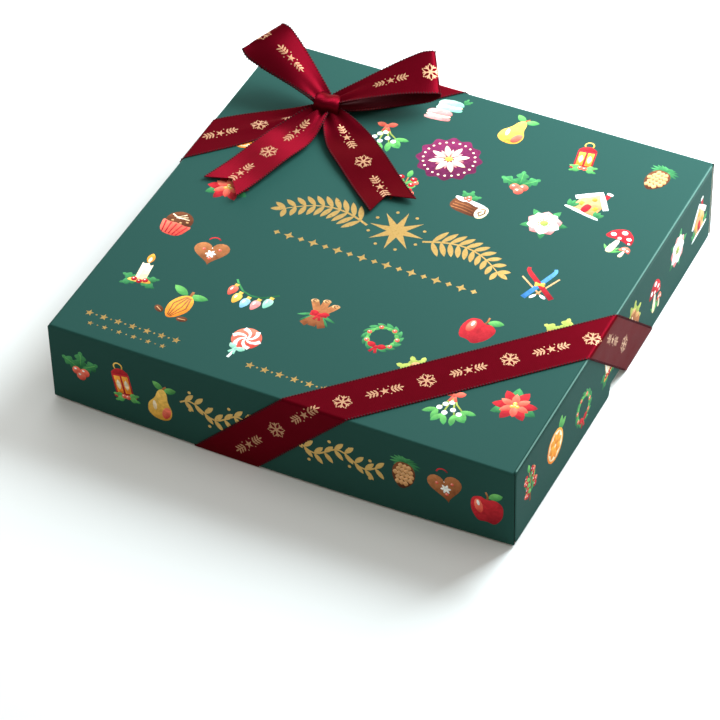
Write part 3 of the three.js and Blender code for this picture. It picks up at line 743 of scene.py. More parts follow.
def formed_sheet(name, outline, seams, marks, art, form, ground, materials):
    """A flat sheet cut along outline, printed with art and shaped by form, as one closed mesh.

    Seams are lines that the mesh keeps and marks are extra points. Each item of art is a loop, its two
    tones and its material slot; later art covers earlier. The last two materials are the back and edge.
    """
    count = len(outline)
    flat = [np.asarray(outline, float)]
    edges = []
    faces = [list(range(count))]
    total = count
    for seam in seams:
        flat.append(np.asarray(seam, float))
        edges += [(total + i, total + i + 1) for i in range(len(seam) - 1)]
        total += len(seam)
    if len(marks):
        flat.append(np.asarray(marks, float))
        total += len(marks)
    plain_total = total
    for loop, *_ in art:
        flat.append(loop if twice_area(loop) > 0 else loop[::-1])
        faces.append(list(range(total, total + len(loop))))
        total += len(loop)
    points = np.concatenate(flat)
    layers = []
    for cut, skin_faces in ((total, faces), (plain_total, faces[:1])):
        at, _, found, sources, _, owners = delaunay_2d_cdt(
            [tuple(p) for p in points[:cut]], edges, skin_faces, 0, 1e-5, True,
        )
        place_of = {old: new for new, olds in enumerate(sources) for old in olds}
        kept = [(face, max(owner)) for face, owner in zip(found, owners) if 0 in owner]
        layers.append((np.array([tuple(p) for p in at]), [place_of[i] for i in range(count)], kept))
    (front, front_rim, front_faces), (back, back_rim, back_faces) = layers
    shift = len(front)
    back_rim = [shift + i for i in back_rim]
    corners = np.concatenate([form(front, 0), form(back, 1)]) * MM
    mesh_faces = [face for face, _ in front_faces]
    mesh_faces += [[shift + i for i in reversed(face)] for face, _ in back_faces]
    for i in range(count):
        j = (i + 1) % count
        mesh_faces.append([front_rim[j], front_rim[i], back_rim[i], back_rim[j]])
    made = put_mesh(name, corners, mesh_faces, materials)
    mesh = made.data
    slots = [art[owner - 1][3] if owner else 0 for _, owner in front_faces]
    slots += [len(materials) - 2] * len(back_faces) + [len(materials) - 1] * count
    mesh.polygons.foreach_set("material_index", slots)
    smooth = [True] * (len(front_faces) + len(back_faces)) + [False] * count
    mesh.polygons.foreach_set("use_smooth", smooth)
    creases = {frozenset((rim[i], rim[i - 1])) for rim in (front_rim, back_rim) for i in range(count)}
    sharp = [frozenset(edge.vertices) in creases for edge in mesh.edges]
    mesh.attributes.new("sharp_edge", "BOOLEAN", "EDGE").data.foreach_set("value", sharp)
    tones = np.empty((len(mesh.loops), 4))
    tones[:] = ground
    spot = 0
    for face, owner in front_faces:
        if owner:
            loop, light, shade, _ = art[owner - 1]
            slant = loop @ PAINT_SLANT
            share = (front[face] @ PAINT_SLANT - slant.min()) / max(np.ptp(slant), 1e-6)
            tones[spot:spot + len(face)] = shade + (light - shade) * share[:, None]
        spot += len(face)
    mesh.color_attributes.new("print", "FLOAT_COLOR", "CORNER").data.foreach_set("color", tones.ravel())
    keep_flat(mesh, np.concatenate([front, back]))
    mesh.update()
    return made


# Outline of the blank, anticlockwise from the right flap's front end; the corners of the folds are mitred
tab_low = fold_line + wall_run - TAB_INSET
tab_high = fold_line + fold_arc + TAB_INSET
front_half = [
    (fold_line, -fold_line), (tab_high, -fold_line), (tab_high, -tab_end + TAB_CHAMFER),
    (tab_high + TAB_CHAMFER, -tab_end), (tab_low - TAB_CHAMFER, -tab_end), (tab_low, -tab_end + TAB_CHAMFER),
    (tab_low, -fold_line),
]
front_half += [(blank_edge, v) for v in np.linspace(-tab_fold, -NOTCH_WIDTH / 2, RIM_STEPS)]
front_half.append((blank_edge - NOTCH_DEPTH, -NOTCH_WIDTH / 2 + NOTCH_SLOPE))
right_side = front_half + [(u, -v) for u, v in front_half[::-1]]
mitre = [
    (fold_line + FOLD_RADIUS * math.sin(angle), fold_line + FOLD_RADIUS * angle)
    for angle in np.linspace(0, math.pi / 2, FOLD_STEPS + 1)[1:]
]
back_side = mitre + [(u, blank_edge) for u in np.linspace(LID_HALF, -LID_HALF, 2 * RIM_STEPS)]
back_side += [(-u, v) for u, v in mitre[::-1]]
left_side = [(-u, -v) for u, v in right_side]
front_side = [(-u, -v) for u, v in back_side]
blank_outline = right_side + back_side + left_side + front_side

# Lines that keep the folds round, one just before and one just after each fold, and points that let walls bow
fold_seams = []
for step in range(-1, FOLD_STEPS + 2):
    at = fold_line + np.clip(step / FOLD_STEPS, -0.4, 1.4) * fold_arc
    reach = fold_line - 0.01 if step >= 0 else fold_line - 0.5
    fold_seams += [[(-reach, side * at), (reach, side * at)] for side in (-1, 1)]
    fold_seams += [[(side * at, -reach), (side * at, reach)] for side in (-1, 1)]
tab_line = np.linspace(tab_high + 0.02, tab_low - 0.02, TAB_STEPS)
for side_u in (-1, 1):
    for side_v in (-1, 1):
        for step in range(-1, FOLD_STEPS + 2):
            across = side_v * (tab_fold + step / FOLD_STEPS * fold_arc)
            fold_seams.append([(side_u * at, across) for at in tab_line])
wall_marks = []
for along in np.linspace(-0.97, 0.97, WALL_COLUMNS) * fold_line:
    for run in np.linspace(fold_arc + 1.5, wall_run - 5, WALL_ROWS):
        for side in (-1, 1):
            wall_marks.append((along, side * (fold_line + run)))
            wall_marks.append((side * (fold_line + run), along))

# Printed board under a matt film: flat dark green, paint washes that pool and thin out in the motifs, and a
# faint orange peel from the film that breaks up the sheen
board_print, tree, shader = start_material("matt_laminated_print", {"IOR": 1.12})
place = add_node(tree, "ShaderNodeUVMap", uv_map="flat")
print_tone = add_node(tree, "ShaderNodeAttribute", attribute_name="print")
wash = add_node(tree, "ShaderNodeTexNoise", {
    "Vector": place.outputs["UV"], "Scale": 1 / (PAINT_WASH * MM), "Detail": 5.0, "Roughness": 0.62,
    "Distortion": 0.8,
})
wash_level = add_node(tree, "ShaderNodeMapRange", {
    "Value": wash.outputs["Fac"], "From Min": 0.3, "From Max": 0.7, "To Min": 0.7, "To Max": 1.22,
})
washed = add_node(
    tree, "ShaderNodeVectorMath", {0: print_tone.outputs["Color"], "Scale": wash_level.outputs["Result"]},
    operation="SCALE",
)
ink = add_node(tree, "ShaderNodeMix", {
    "Factor": print_tone.outputs["Alpha"], 6: print_tone.outputs["Color"], 7: washed.outputs["Vector"],
}, data_type="RGBA")
tree.links.new(ink.outputs[2], shader.inputs["Base Color"])
film = add_node(tree, "ShaderNodeTexNoise", {
    "Vector": place.outputs["UV"], "Scale": 1 / (FILM_PEEL * MM), "Detail": 2.0,
})
gloss = add_node(tree, "ShaderNodeMapRange", {"Value": film.outputs["Fac"], "To Min": 0.58, "To Max": 0.68})
tree.links.new(gloss.outputs["Result"], shader.inputs["Roughness"])
peel = add_node(tree, "ShaderNodeBump", {
    "Height": film.outputs["Fac"], "Strength": 0.12, "Distance": 0.1 * MM,
})
tree.links.new(peel.outputs["Normal"], shader.inputs["Normal"])

# Hot foil: a thin mirror of gold pressed into the film, with a grain where the board shows through it
gold_foil = grained(
    "hot_foil_gold", ("#c99c50", "#e6c47c"), FOIL_GRAIN, {"Metallic": 1.0},
    sheet=True, gloss=(0.22, 0.4), Detail=3.0,
)[0]

# Inside of the lid: unprinted grey-white board with darker fibres
board_back = grained(
    "grey_back_board", ("#c6c1b2", "#ebe7dc"), BOARD_FLOCK, {"IOR": 1.4, "Roughness": 0.85},
    sheet=True, tooth=(0.3, 0.05), Detail=6.0, Roughness=0.7,
)[0]

# Cut edge of the blank: dark where the green ink and film run over the plies, and made near black as painted
# shade for the dark groove at the wall corners; every cut edge of the blank gets it
edge_and_groove_shade = grained(
    "cut_edge_and_groove_shade", ("#050c0a", "#0e1a17"), PLY_GRAIN, {"IOR": 1.05, "Roughness": 0.9}, Detail=4.0,
)[0]

# Print on the lid: little painted winter motifs, built of flat shapes that lie over each other like washes
# of paint. Each paint has a light and a shaded tone. The shapes are in millimetres, a motif's up along +Y.
PAINTS = {
    "coral": ("#f3836a", "#c03c33"), "crimson": ("#cf3038", "#861722"), "cream": ("#fbefd6", "#e0c79c"),
    "white": ("#fdfaf3", "#cfdad9"), "mint": ("#b6e0ca", "#6fb59c"), "leaf": ("#74bd66", "#357f46"),
    "fir": ("#4f9c5f", "#205c3a"), "moss": ("#b6c264", "#728637"), "ochre": ("#f4cb68", "#c58f31"),
    "amber": ("#fbb24a", "#d87623"), "brown": ("#b6764a", "#743f24"), "cocoa": ("#7d4a30", "#442317"),
    "tan": ("#e4b582", "#b07a48"), "rose": ("#f2b3ae", "#d2706f"), "plum": ("#7d2a55", "#581a3d"),
    "sky": ("#b6dcec", "#6fabcd"), "blue": ("#5c9acb", "#2d659e"),
}
PAINT_SLOT = 0
FOIL_SLOT = 1


def turned(loop, degrees):
    angle = math.radians(degrees)
    return np.asarray(loop) @ np.array([
        [math.cos(angle), math.sin(angle)],
        [-math.sin(angle), math.cos(angle)],
    ])


def oval(x, y, across, up, turn=0.0, count=18):
    angle = np.linspace(0, 2 * math.pi, count, endpoint=False)
    return turned(np.stack([across * np.cos(angle), up * np.sin(angle)], 1), turn) + (x, y)


def leaf(x, y, length, width, heading, teeth=0):
    """A pointed leaf from its foot at x, y; teeth gives the spines along each edge."""
    t = np.linspace(0, 1, 6 * teeth + 1 if teeth else 9)
    half = width / 2 * np.sin(math.pi * t) ** 0.75
    if teeth:
        half = half * (0.5 + 0.5 * np.abs(np.cos(teeth * math.pi * t)))
    lower = np.stack([t * length, -half], 1)
    upper = lower[-2:0:-1] * (1, -1)
    return turned(np.concatenate([lower, upper]), heading) + (x, y)


def star(x, y, reach, inner, points, turn=90.0):
    radius = np.where(np.arange(2 * points) % 2, inner, reach)
    angle = np.arange(2 * points) * math.pi / points
    return turned(np.stack([radius * np.cos(angle), radius * np.sin(angle)], 1), turn) + (x, y)


def arc(x, y, radius, start, end, count=12):
    angle = np.radians(np.linspace(start, end, count))
    return np.stack([x + radius * np.cos(angle), y + radius * np.sin(angle)], 1)


def brush(points, width, tip=None):
    """A brush stroke along points, from its width to the width at its tip."""
    points = np.asarray(points, float)
    half = np.linspace(width, width if tip is None else tip, len(points))[:, None] / 2
    reach = sideways(points) * half
    return np.concatenate([points - reach, (points + reach)[::-1]])


def soft(*points):
    """A loop through points with its corners cut round twice."""
    loop = np.asarray(points, float)
    for _ in range(2):
        after = np.roll(loop, -1, axis=0)
        loop = np.stack([0.78 * loop + 0.22 * after, 0.22 * loop + 0.78 * after], 1).reshape(-1, 2)
    return loop


def block(low_x, low_y, high_x, high_y):
    return np.array([(low_x, low_y), (high_x, low_y), (high_x, high_y), (low_x, high_y)], float)


def paint(colour, *loops):
    light, shade = PAINTS[colour]
    return [(loop, np.array(linear(light)), np.array(linear(shade)), PAINT_SLOT) for loop in loops]


def foil(*loops):
    return [(loop, np.ones(4), np.ones(4), FOIL_SLOT) for loop in loops]


def spray(colour, x, y, headings, length, width, teeth=0):
    return paint(colour, *[leaf(x, y, length, width, heading, teeth) for heading in headings])


def berries(colour, places, size):
    made = paint(colour, *[oval(x, y, size, size, 0, 14) for x, y in places])
    spots = [oval(x - 0.3 * size, y + 0.35 * size, 0.28 * size, 0.22 * size, 0, 8) for x, y in places]
    return made + paint("white", *spots)


def tied_bow(colour, x, y, size):
    tails = [brush([(x, y), (x + side * 0.5 * size, y - 1.3 * size)], 0.45 * size) for side in (-1, 1)]
    wings = [leaf(x, y, 1.7 * size, 1.1 * size, heading) for heading in (20, 160)]
    return paint(colour, *tails, *wings, oval(x, y, 0.32 * size, 0.36 * size, 0, 10))


def placed(motif, x, y, turn=0.0, size=1.0):
    return [(turned(loop, turn) * size + (x, y), *rest) for loop, *rest in motif]


MOTIFS = {}
MOTIFS["candle"] = (
    spray("fir", 0, -5.4, (165, 15, 205, -25), 6.6, 3.4, 3)
    + paint("ochre", soft((-4.4, -6.6), (4.4, -6.6), (3.2, -4.6), (-3.2, -4.6)))
    + paint("cream", np.array([(-1.9, -5), (1.9, -5), (1.9, 2.6), (1, 2), (0.2, 3.2), (-1, 2.5), (-1.9, 3)]))
    + paint("white", block(-1.4, -4.4, -0.7, 2))
    + paint("amber", leaf(0, 2.9, 5, 2.6, 90)) + paint("cream", leaf(0, 3.3, 2.8, 1.2, 90))
    + berries("crimson", [(-1.9, -5.3), (0.1, -6), (1.9, -5.2)], 1)
)
MOTIFS["lantern"] = (
    paint("ochre", brush(arc(0, 5.9, 1.5, -60, 240), 0.5))
    + paint("crimson", soft((-4, 2.6), (4, 2.6), (1.4, 5.2), (-1.4, 5.2)), block(-3.2, -5.6, 3.2, 2.8))
    + paint("amber", block(-2.6, -4.8, -0.35, 2.1), block(0.35, -4.8, 2.6, 2.1))
    + paint("cream", leaf(-1.45, -3.4, 4, 1.5, 90), leaf(1.45, -3.4, 4, 1.5, 90))
    + paint("crimson", soft((-4.2, -6.8), (4.2, -6.8), (4.2, -5.4), (-4.2, -5.4)))
    + spray("leaf", 0.4, -6.2, (168, 12, 200, -20), 5, 2.4, 2)
    + berries("coral", [(-0.6, -6), (0.9, -6.3)], 0.9)
)
wreath_turns = np.arange(14) * 360 / 14
MOTIFS["wreath"] = (
    paint("fir", *[leaf(*turned((4.6, -1), a), 4.2, 1.7, a + 68) for a in wreath_turns])
    + paint("leaf", *[leaf(*turned((5, 0), a + 12), 3.2, 1.3, a + 128) for a in wreath_turns])
    + berries("coral", [turned((4.9, 0), a) for a in (10, 62, 118, 170, 215, 325)], 0.8)
    + tied_bow("crimson", 0, -4.7, 2.1)
)
MOTIFS["poinsettia"] = (
    spray("fir", 0, 0, (0, 118, 236), 8, 3.8) + spray("crimson", 0, 0, range(28, 388, 60), 7.2, 3.5)
    + spray("coral", 0, 0, range(0, 360, 60), 5.2, 2.5)
    + berries("ochre", [(0.9, 0), (-0.5, 0.8), (-0.5, -0.8), (0.1, 0)], 0.7)
)
MOTIFS["holly"] = (
    spray("fir", 0, -1, (152, 32, 88), 7.6, 4.8, 3)
    + paint("leaf", *[brush([turned((1.5, 0), a) + (0, -1), turned((6.4, 0), a) + (0, -1)], 0.4, 0.15)
                      for a in (152, 32, 88)])
    + berries("coral", [(-1.5, -2), (1.4, -2.1), (0, -3.9)], 1.7)
)
MOTIFS["cone"] = (
    paint("fir", *[leaf(side * 0.8, 4.4, 6.6 - 0.12 * abs(a), 1, 90 + side * (95 - 1.7 * a))
                   for side in (-1, 1) for a in range(-12, 40, 8)])
    + paint("cocoa", soft((-2.2, 4.2), (2.2, 4.2), (4, 1), (3.6, -3.4), (0, -7.4), (-3.6, -3.4), (-4, 1)))
    + paint("tan", *[leaf(x + 0.7 * (row % 2), 3.6 - 1.7 * row, 2.1, 1.7, 270)
                     for row, reach in enumerate((1.4, 2.6, 2.8, 2.4, 1.6))
                     for x in np.arange(-reach, reach + 0.1, 1.4)])
)
MOTIFS["orange"] = (
    spray("leaf", 2.6, 3.6, (30, 78), 5.4, 2.8)
    + paint("amber", oval(0, -0.6, 6, 6, 0, 26)) + paint("cream", oval(0, -0.6, 5.2, 5.2, 0, 26))
    + paint("amber", *[leaf(*turned((0.5, 0), a) + (0, -0.6), 4.4, 3.1, a) for a in range(10, 370, 45)])
)
stick_ends = [(-3.6, 5.4), (0.2, 6.3), (3.8, 5)]
MOTIFS["cinnamon"] = (
    spray("fir", 0, 0, (200, 225, 250, -20, -45), 7, 1.2)
    + paint("brown", *[brush([(-0.9 * x, -6), (x, y)], 2.5) for x, y in stick_ends])
    + paint("tan", *[oval(x, y, 1.35, 0.9, 8) for x, y in stick_ends])
    + paint("cocoa", *[brush(arc(x, y, 0.55, 40, 300, 8), 0.4) for x, y in stick_ends])
    + paint("crimson", brush([(-2.8, -0.6), (2.9, -0.2)], 1.7)) + tied_bow("crimson", 0.2, -0.4, 2)
)
heart_angles = np.linspace(0, 2 * math.pi, 34, endpoint=False)
heart_loop = np.stack([
    5.9 * np.sin(heart_angles) ** 3,
    4.9 * np.cos(heart_angles) - 1.9 * np.cos(2 * heart_angles) - 0.75 * np.cos(3 * heart_angles)
    - 0.37 * np.cos(4 * heart_angles),
], 1)
MOTIFS["spiced heart"] = (
    paint("crimson", brush(arc(0, 5.2, 2, 20, 160), 0.5)) + paint("brown", heart_loop)
    + paint("white", brush(0.8 * heart_loop[1:], 0.5)) + spray("white", 0, -0.9, range(0, 360, 60), 1.9, 0.9)
    + berries("coral", [(-2.6, 1.3), (2.6, 1.3), (0, -3)], 0.6)
)
MOTIFS["cottage"] = (
    paint("crimson", block(1.7, 2.4, 3.4, 6.2))
    + paint("white", soft((1.3, 5.8), (3.8, 5.8), (3.6, 7), (1.5, 7)))
    + paint("tan", np.array([(-4.4, -6), (4.4, -6), (4.4, 0), (0, 4.8), (-4.4, 0)]))
    + paint("white", brush([(-6, -1.2), (-3, 2), (0, 5.2), (3, 2), (6, -1.2)], 1.9))
    + paint("crimson", soft((-1.3, -6), (1.3, -6), (1.3, -1.8), (-1.3, -1.8)))
    + paint("amber", block(-3.5, -3.6, -1.9, -1.6), block(1.9, -3.6, 3.5, -1.6), oval(0, 1.2, 0.9, 0.9))
    + spray("fir", -5, -6.4, (60, 90, 120), 4, 1.6) + spray("fir", 5.2, -6.4, (60, 90, 120), 3.4, 1.6)
    + paint("white", soft((-7, -7.2), (7, -7.2), (6, -5.8), (2, -6.3), (-2, -5.8), (-6, -6)))
)
MOTIFS["toadstools"] = (
    spray("leaf", 0, -6.6, (40, 65, 115, 140), 4.4, 1)
    + paint("cream", soft((-1.9, -6.6), (0.9, -6.6), (0.4, 0.4), (-1.3, 0.4)))
    + paint("crimson", soft((-5.8, -0.6), (-4.6, 4), (-0.6, 6.6), (3.4, 4), (4.7, -0.6), (0, 0.7)))
    + paint("white", *[oval(x, y, r, 0.85 * r, 0, 12) for x, y, r in
                       ((-3.4, 2, 1), (-0.6, 4.4, 1.1), (2.2, 2.4, 0.9), (-0.7, 1.3, 0.7), (3.3, 0.5, 0.5))])
    + paint("cream", soft((3.2, -6.6), (4.8, -6.6), (4.4, -3.4), (3.6, -3.4)))
    + paint("coral", soft((1.8, -3.9), (2.6, -1.6), (4, -0.9), (5.4, -1.6), (6.2, -3.9), (4, -3.3)))
    + paint("white", oval(3.4, -2.4, 0.55, 0.45, 0, 10), oval(4.9, -2.7, 0.45, 0.4, 0, 10))
)
MOTIFS["pear"] = (
    spray("leaf", 0.4, 5.6, (25, 150), 4.8, 2.5)
    + paint("brown", brush([(0, 5), (0.3, 6.6), (1.1, 7.6)], 0.8, 0.6))
    + paint("ochre", soft((0, 6.4), (1.7, 4.8), (2.3, 1.4), (4.4, -1.6), (4.2, -5.2), (1.8, -6.9),
                          (-1.8, -6.9), (-4.2, -5.2), (-4.4, -1.6), (-2.3, 1.4), (-1.7, 4.8)))
    + paint("coral", oval(2.4, -3.2, 1.5, 2.6, -12)) + paint("cream", oval(-2, -1.8, 0.7, 1.9, 14))
)
MOTIFS["acorns"] = (
    spray("moss", 0, 3.4, (170, 95, 20), 7, 4.4, 3)
    + paint("tan", soft((-4.6, -0.4), (-0.9, 0.6), (-1.2, -4), (-3.4, -6.8), (-5, -4)),
            soft((0.9, 0), (4.7, -0.6), (4.9, -4), (3.6, -6.6), (1.2, -4.2)))
    + paint("brown", soft((-5.3, 0.4), (-0.2, 1.6), (-0.5, 3), (-2.4, 4), (-4.8, 2.6)),
            soft((0.3, 1.2), (5.3, 0.2), (5, 2.4), (2.8, 3.8), (0.7, 2.8)))
    + paint("cream", oval(-3.5, -2.6, 0.5, 1.5, -10), oval(2.3, -2.6, 0.5, 1.5, 8))
)
MOTIFS["skis"] = (
    paint("tan", brush([(-6, 3), (2.2, -7)], 0.6), brush([(6, 3), (-2.2, -7)], 0.6))
    + paint("white", oval(1.6, -6.1, 1.3, 0.6, -40), oval(-1.6, -6.1, 1.3, 0.6, 40))
    + paint("blue", brush([(-4.6, -7), (3.6, 4.8), (4.4, 6.4), (4.3, 7.6)], 1.9, 1.1))
    + paint("crimson", brush([(4.6, -7), (-3.6, 4.8), (-4.4, 6.4), (-4.3, 7.6)], 1.9, 1.1))
    + paint("ochre", brush([(-1.6, -1), (1.6, 0.4)], 0.9), brush([(1.6, -1), (-1.6, 0.4)], 0.9))
)
mistle_stems = ((-5, -3.4), (-2, -6), (2.6, -5.8), (5.2, -2.8))
MOTIFS["mistletoe"] = (
    paint("moss", *[brush([(0, 5), (0.35 * x, 1), (x, y)], 0.7, 0.5) for x, y in mistle_stems])
    + paint("leaf", *[leaf(0.72 * x, 0.72 * y + 0.6, 5, 2.1, heading)
                      for x, y in mistle_stems for heading in (250 + 9 * x, 305 + 9 * x)])
    + berries("white", [(-3.2, -1.2), (-1.1, -3.2), (1.2, -1.5), (3.4, -3), (0.1, 1.6), (-1.7, 0.6)], 0.95)
    + tied_bow("coral", 0, 5, 2.2)
)
MOTIFS["log cake"] = (
    spray("fir", -2.8, 3, (40, 140, 95), 4.6, 2.8, 2)
    + paint("cocoa", soft((-7, -3.9), (4.2, -4.2), (6.2, -1), (4.2, 2.6), (-7, 2.8)))
    + paint("brown", *[brush([(-6, y), (-2, y + 0.3), (2, y)], 0.4, 0.3) for y in (-2.8, -1.5, -0.2)])
    + paint("white", soft((-7, 1.6), (-4, 0.9), (-2, 1.8), (1, 0.8), (4.4, 1.6), (4.2, 2.9), (-7, 3.1)))
    + paint("cream", oval(4.4, -0.8, 2.1, 3.2))
    + paint("cocoa", brush([(3.4, 0.8), (4.8, 1.2), (5.6, -0.6), (4.6, -2.6), (3.5, -1.4), (4.3, -0.2)], 0.6))
    + berries("coral", [(-3.6, 2.8), (-2.2, 2.6), (-2.8, 3.8)], 0.85)
)
bulb_places = [
    (-6.6, 0.4, "coral"), (-3.4, -2.2, "ochre"), (0.1, -2.9, "sky"), (3.5, -2.1, "rose"), (6.6, 0.5, "mint"),
]
bulb_loop = soft((-1.2, 1.2), (-1.7, -1), (0, -4.2), (1.7, -1), (1.2, 1.2))
MOTIFS["lights"] = (
    paint("fir", brush([(-8, 4.6), (-6.6, 3.1), (-3.4, 0.7), (0, 0), (3.4, 0.7), (6.6, 3.2), (8, 4.7)], 0.7))
    + [shape for x, y, colour in bulb_places for shape in
       paint("ochre", block(x - 0.7, y + 0.8, x + 0.7, y + 2.3)) + paint(colour, bulb_loop + (x, y))
       + paint("white", oval(x - 0.6, y - 0.4, 0.3, 0.8))]
)
MOTIFS["truffle"] = (
    paint("cocoa", oval(0, 1.2, 4.7, 4.6, 0, 24))
    + paint("cream", *[brush([(-3.7 + i, 3.4 - 0.6 * i), (-1.4 + i, 2.7), (0.9 + i, 4.9 - i)], 0.5, 0.4)
                       for i in (0, 1, 2)])
    + paint("tan", oval(-2.2, 0.6, 0.5, 0.4), oval(2.8, 1.6, 0.5, 0.4), oval(0.9, 0.5, 0.45, 0.4))
    + paint("coral", soft((-5.6, 0.4), (-3, -0.4), (0, 0.2), (3, -0.4), (5.6, 0.4), (3.6, -6.2),
                          (-3.6, -6.2)))
    + paint("crimson", *[brush([(1.25 * x, -0.4), (0.8 * x, -5.8)], 0.55, 0.4)
                         for x in (-3.2, -1.6, 0, 1.6, 3.2)])
)
MOTIFS["apple"] = (
    spray("leaf", 0.3, 4.6, (28,), 5.4, 2.9)
    + paint("brown", brush([(0, 3), (0.1, 5), (-0.6, 6.8)], 0.8, 0.6))
    + paint("crimson", soft((0, 3.4), (2.4, 4.6), (5.4, 3), (5.4, -2), (2.9, -6.2), (0, -5.4), (-2.9, -6.2),
                            (-5.4, -2), (-5.4, 3), (-2.4, 4.6)))
    + paint("coral", oval(-2.8, 0.2, 1.4, 2.8, 12)) + paint("white", oval(-3, 1.4, 0.5, 1.1, 12))
)
MOTIFS["cocoa pod"] = (
    spray("leaf", -1, 4.6, (20, 165), 7, 3) + paint("brown", brush([(0, 4), (-0.6, 7.2)], 1.1, 0.9))
    + paint("amber", soft((0, 5.4), (2.8, 3.4), (4, -1), (2.6, -5), (0, -7.4), (-2.6, -5), (-4, -1),
                          (-2.8, 3.4)))
    + paint("brown", *[brush([(0.3 * x, 4.2), (x, -0.6), (0.25 * x, -6)], 0.6, 0.3)
                       for x in (-2.5, -0.9, 0.9, 2.5)])
    + paint("cocoa", oval(4.6, -5, 1.9, 1.2, 24), oval(-4.6, -5.4, 1.9, 1.2, -20))
    + paint("tan", brush([(3.4, -5.4), (5.8, -4.6)], 0.3), brush([(-3.4, -5.8), (-5.8, -5)], 0.3))
)
MOTIFS["lollipop"] = (
    paint("white", brush([(0, -1), (0.5, -8)], 0.9)) + paint("coral", oval(0, 2.2, 4.9, 4.9, 0, 24))
    + paint("white", *[
        brush([turned((r, 0), a + 16 * r) + (0, 2.2) for r in (0.3, 1.4, 2.5, 3.6, 4.7)], 0.5, 1.5)
        for a in range(0, 360, 60)
    ])
    + tied_bow("mint", 0, -3.4, 1.9)
)
MOTIFS["macarons"] = [shape for x, y, colour in ((-1.4, -4, "rose"), (1, 1.6, "mint")) for shape in (
    paint(colour, soft((x - 4.8, y - 0.6), (x + 4.8, y - 0.6), (x + 4.4, y - 2.8), (x - 4.4, y - 2.8)))
    + paint("cream", soft((x - 4.3, y + 0.5), (x + 4.3, y + 0.5), (x + 4.3, y - 1), (x - 4.3, y - 1)))
    + paint(colour, soft((x - 4.8, y), (x + 4.8, y), (x + 4, y + 2.6), (x, y + 3.4), (x - 4, y + 2.6)))
    + paint("white", oval(x - 2.3, y + 1.8, 1.2, 0.4, 20))
)] + spray("fir", 5, 3.6, (40, 75), 3.4, 1.9, 2)
MOTIFS["winter rose"] = (
    spray("fir", 0, 0, (0, 60, 130, 200, 275), 8, 2.8)
    + paint("rose", *[leaf(*turned((-0.4, 0), a), 6.4, 5.6, a) for a in range(18, 378, 72)])
    + paint("white", *[leaf(*turned((-0.2, 0), a), 5.9, 4.6, a) for a in range(54, 414, 72)])
    + paint("moss", oval(0, 0, 1.4, 1.4))
    + paint("ochre", *[oval(*turned((1.8, 0), a), 0.36, 0.36, 0, 8) for a in range(0, 360, 36)])
)
MOTIFS["hazelnuts"] = (
    spray("moss", 0, 1, (75, 110, 200, -20, 20, 160), 7, 4, 2)
    + paint("brown", oval(-2.6, -1.6, 2.8, 3.2, 18), oval(2.7, -1.8, 2.8, 3.2, -18), oval(0, 1.8, 2.7, 3))
    + paint("tan", oval(-3.4, 0.9, 1.9, 0.9, 26), oval(3.5, 0.7, 1.9, 0.9, -26), oval(0, 4.2, 1.9, 0.8))
    + paint("cream", oval(-3.4, -2, 0.4, 1.2, 18), oval(2, -2.2, 0.4, 1.2, -18), oval(-0.8, 1.6, 0.4, 1.1))
)
twig_steps = (-4, -1.2, 1.6, 4.4)
MOTIFS["berry twig"] = (
    paint("brown", brush([(-1.6, -7.4), (-0.6, -3), (0.2, 1.6), (0, 7)], 0.8, 0.4))
    + paint("leaf", *[leaf(0, y, 5, 2.2, 90 + side * 52) for y in twig_steps[:3] for side in (-1, 1)],
            leaf(0, 5, 4, 1.9, 90))
    + berries("crimson", [
        (side * (1.9 + 0.3 * y % 1), y + 0.2) for y in twig_steps for side in (-1, 1)
    ], 1.15)
    + berries("coral", [(-3.9, -2.6), (3.8, -2.2), (-3.2, 3.4), (3.4, 3.2)], 1)
)
rosette_angles = np.linspace(0, 2 * math.pi, 96, endpoint=False)
rosette_reach = 10.6 + 0.7 * np.cos(12 * rosette_angles)
rosette_loop = np.stack([rosette_reach * np.cos(rosette_angles), rosette_reach * np.sin(rosette_angles)], 1)
MOTIFS["rosette"] = (
    paint("plum", rosette_loop)
    + paint("cream", *[oval(*turned((8.7, 0), a), 0.45, 0.45, 0, 8) for a in range(0, 360, 15)])
    + paint("cream", *[leaf(*turned((1.2, 0), a), 5.8, 2, a) for a in range(0, 360, 45)])
    + paint("rose", *[leaf(*turned((1.6, 0), a + 22.5), 3.6, 1, a + 22.5) for a in range(0, 360, 45)])
    + paint("ochre", oval(0, 0, 1.3, 1.3))
)

# Gold foil: a star between two mirrored sprigs in the middle of the lid, a rule of diamonds under it, two
# small rows of stars near the front edge, and a garland along the front wall
WALL_MIDDLE = 96.0
SPRIG_STEPS = np.linspace(0, 1, 11)


def foil_sprig(side):
    """One curved sprig of the middle ornament, to the right (side 1) or to the left (side -1)."""
    stem_rise = 4.6 + 5 * np.sin(2.6 * SPRIG_STEPS) - 6 * SPRIG_STEPS ** 2
    stem = np.stack([side * (10 + 28 * SPRIG_STEPS), stem_rise], 1)
    shapes = [brush(stem, 0.9, 0.4)]
    for step, (x, y) in enumerate(stem[1:]):
        size = 7.4 - 0.32 * step
        lean = 0 if side > 0 else 180
        shapes += [leaf(x, y, size, 1.9, lean + side * (bend - 5 * step)) for bend in (66, -52)]
    return foil(*shapes, leaf(*stem[-1], 5, 1.8, -24 if side > 0 else 204))


def foil_row(x, y, count, pitch, size):
    """A short row of stars with dots between them."""
    places = x + (np.arange(count) - (count - 1) / 2) * pitch
    stars = [star(at, y, size, 0.42 * size, 5) for at in places]
    dots = [oval(at + pitch / 2, y, 0.24 * size, 0.24 * size, 0, 8) for at in places[:-1]]
    return foil(*stars, *dots)


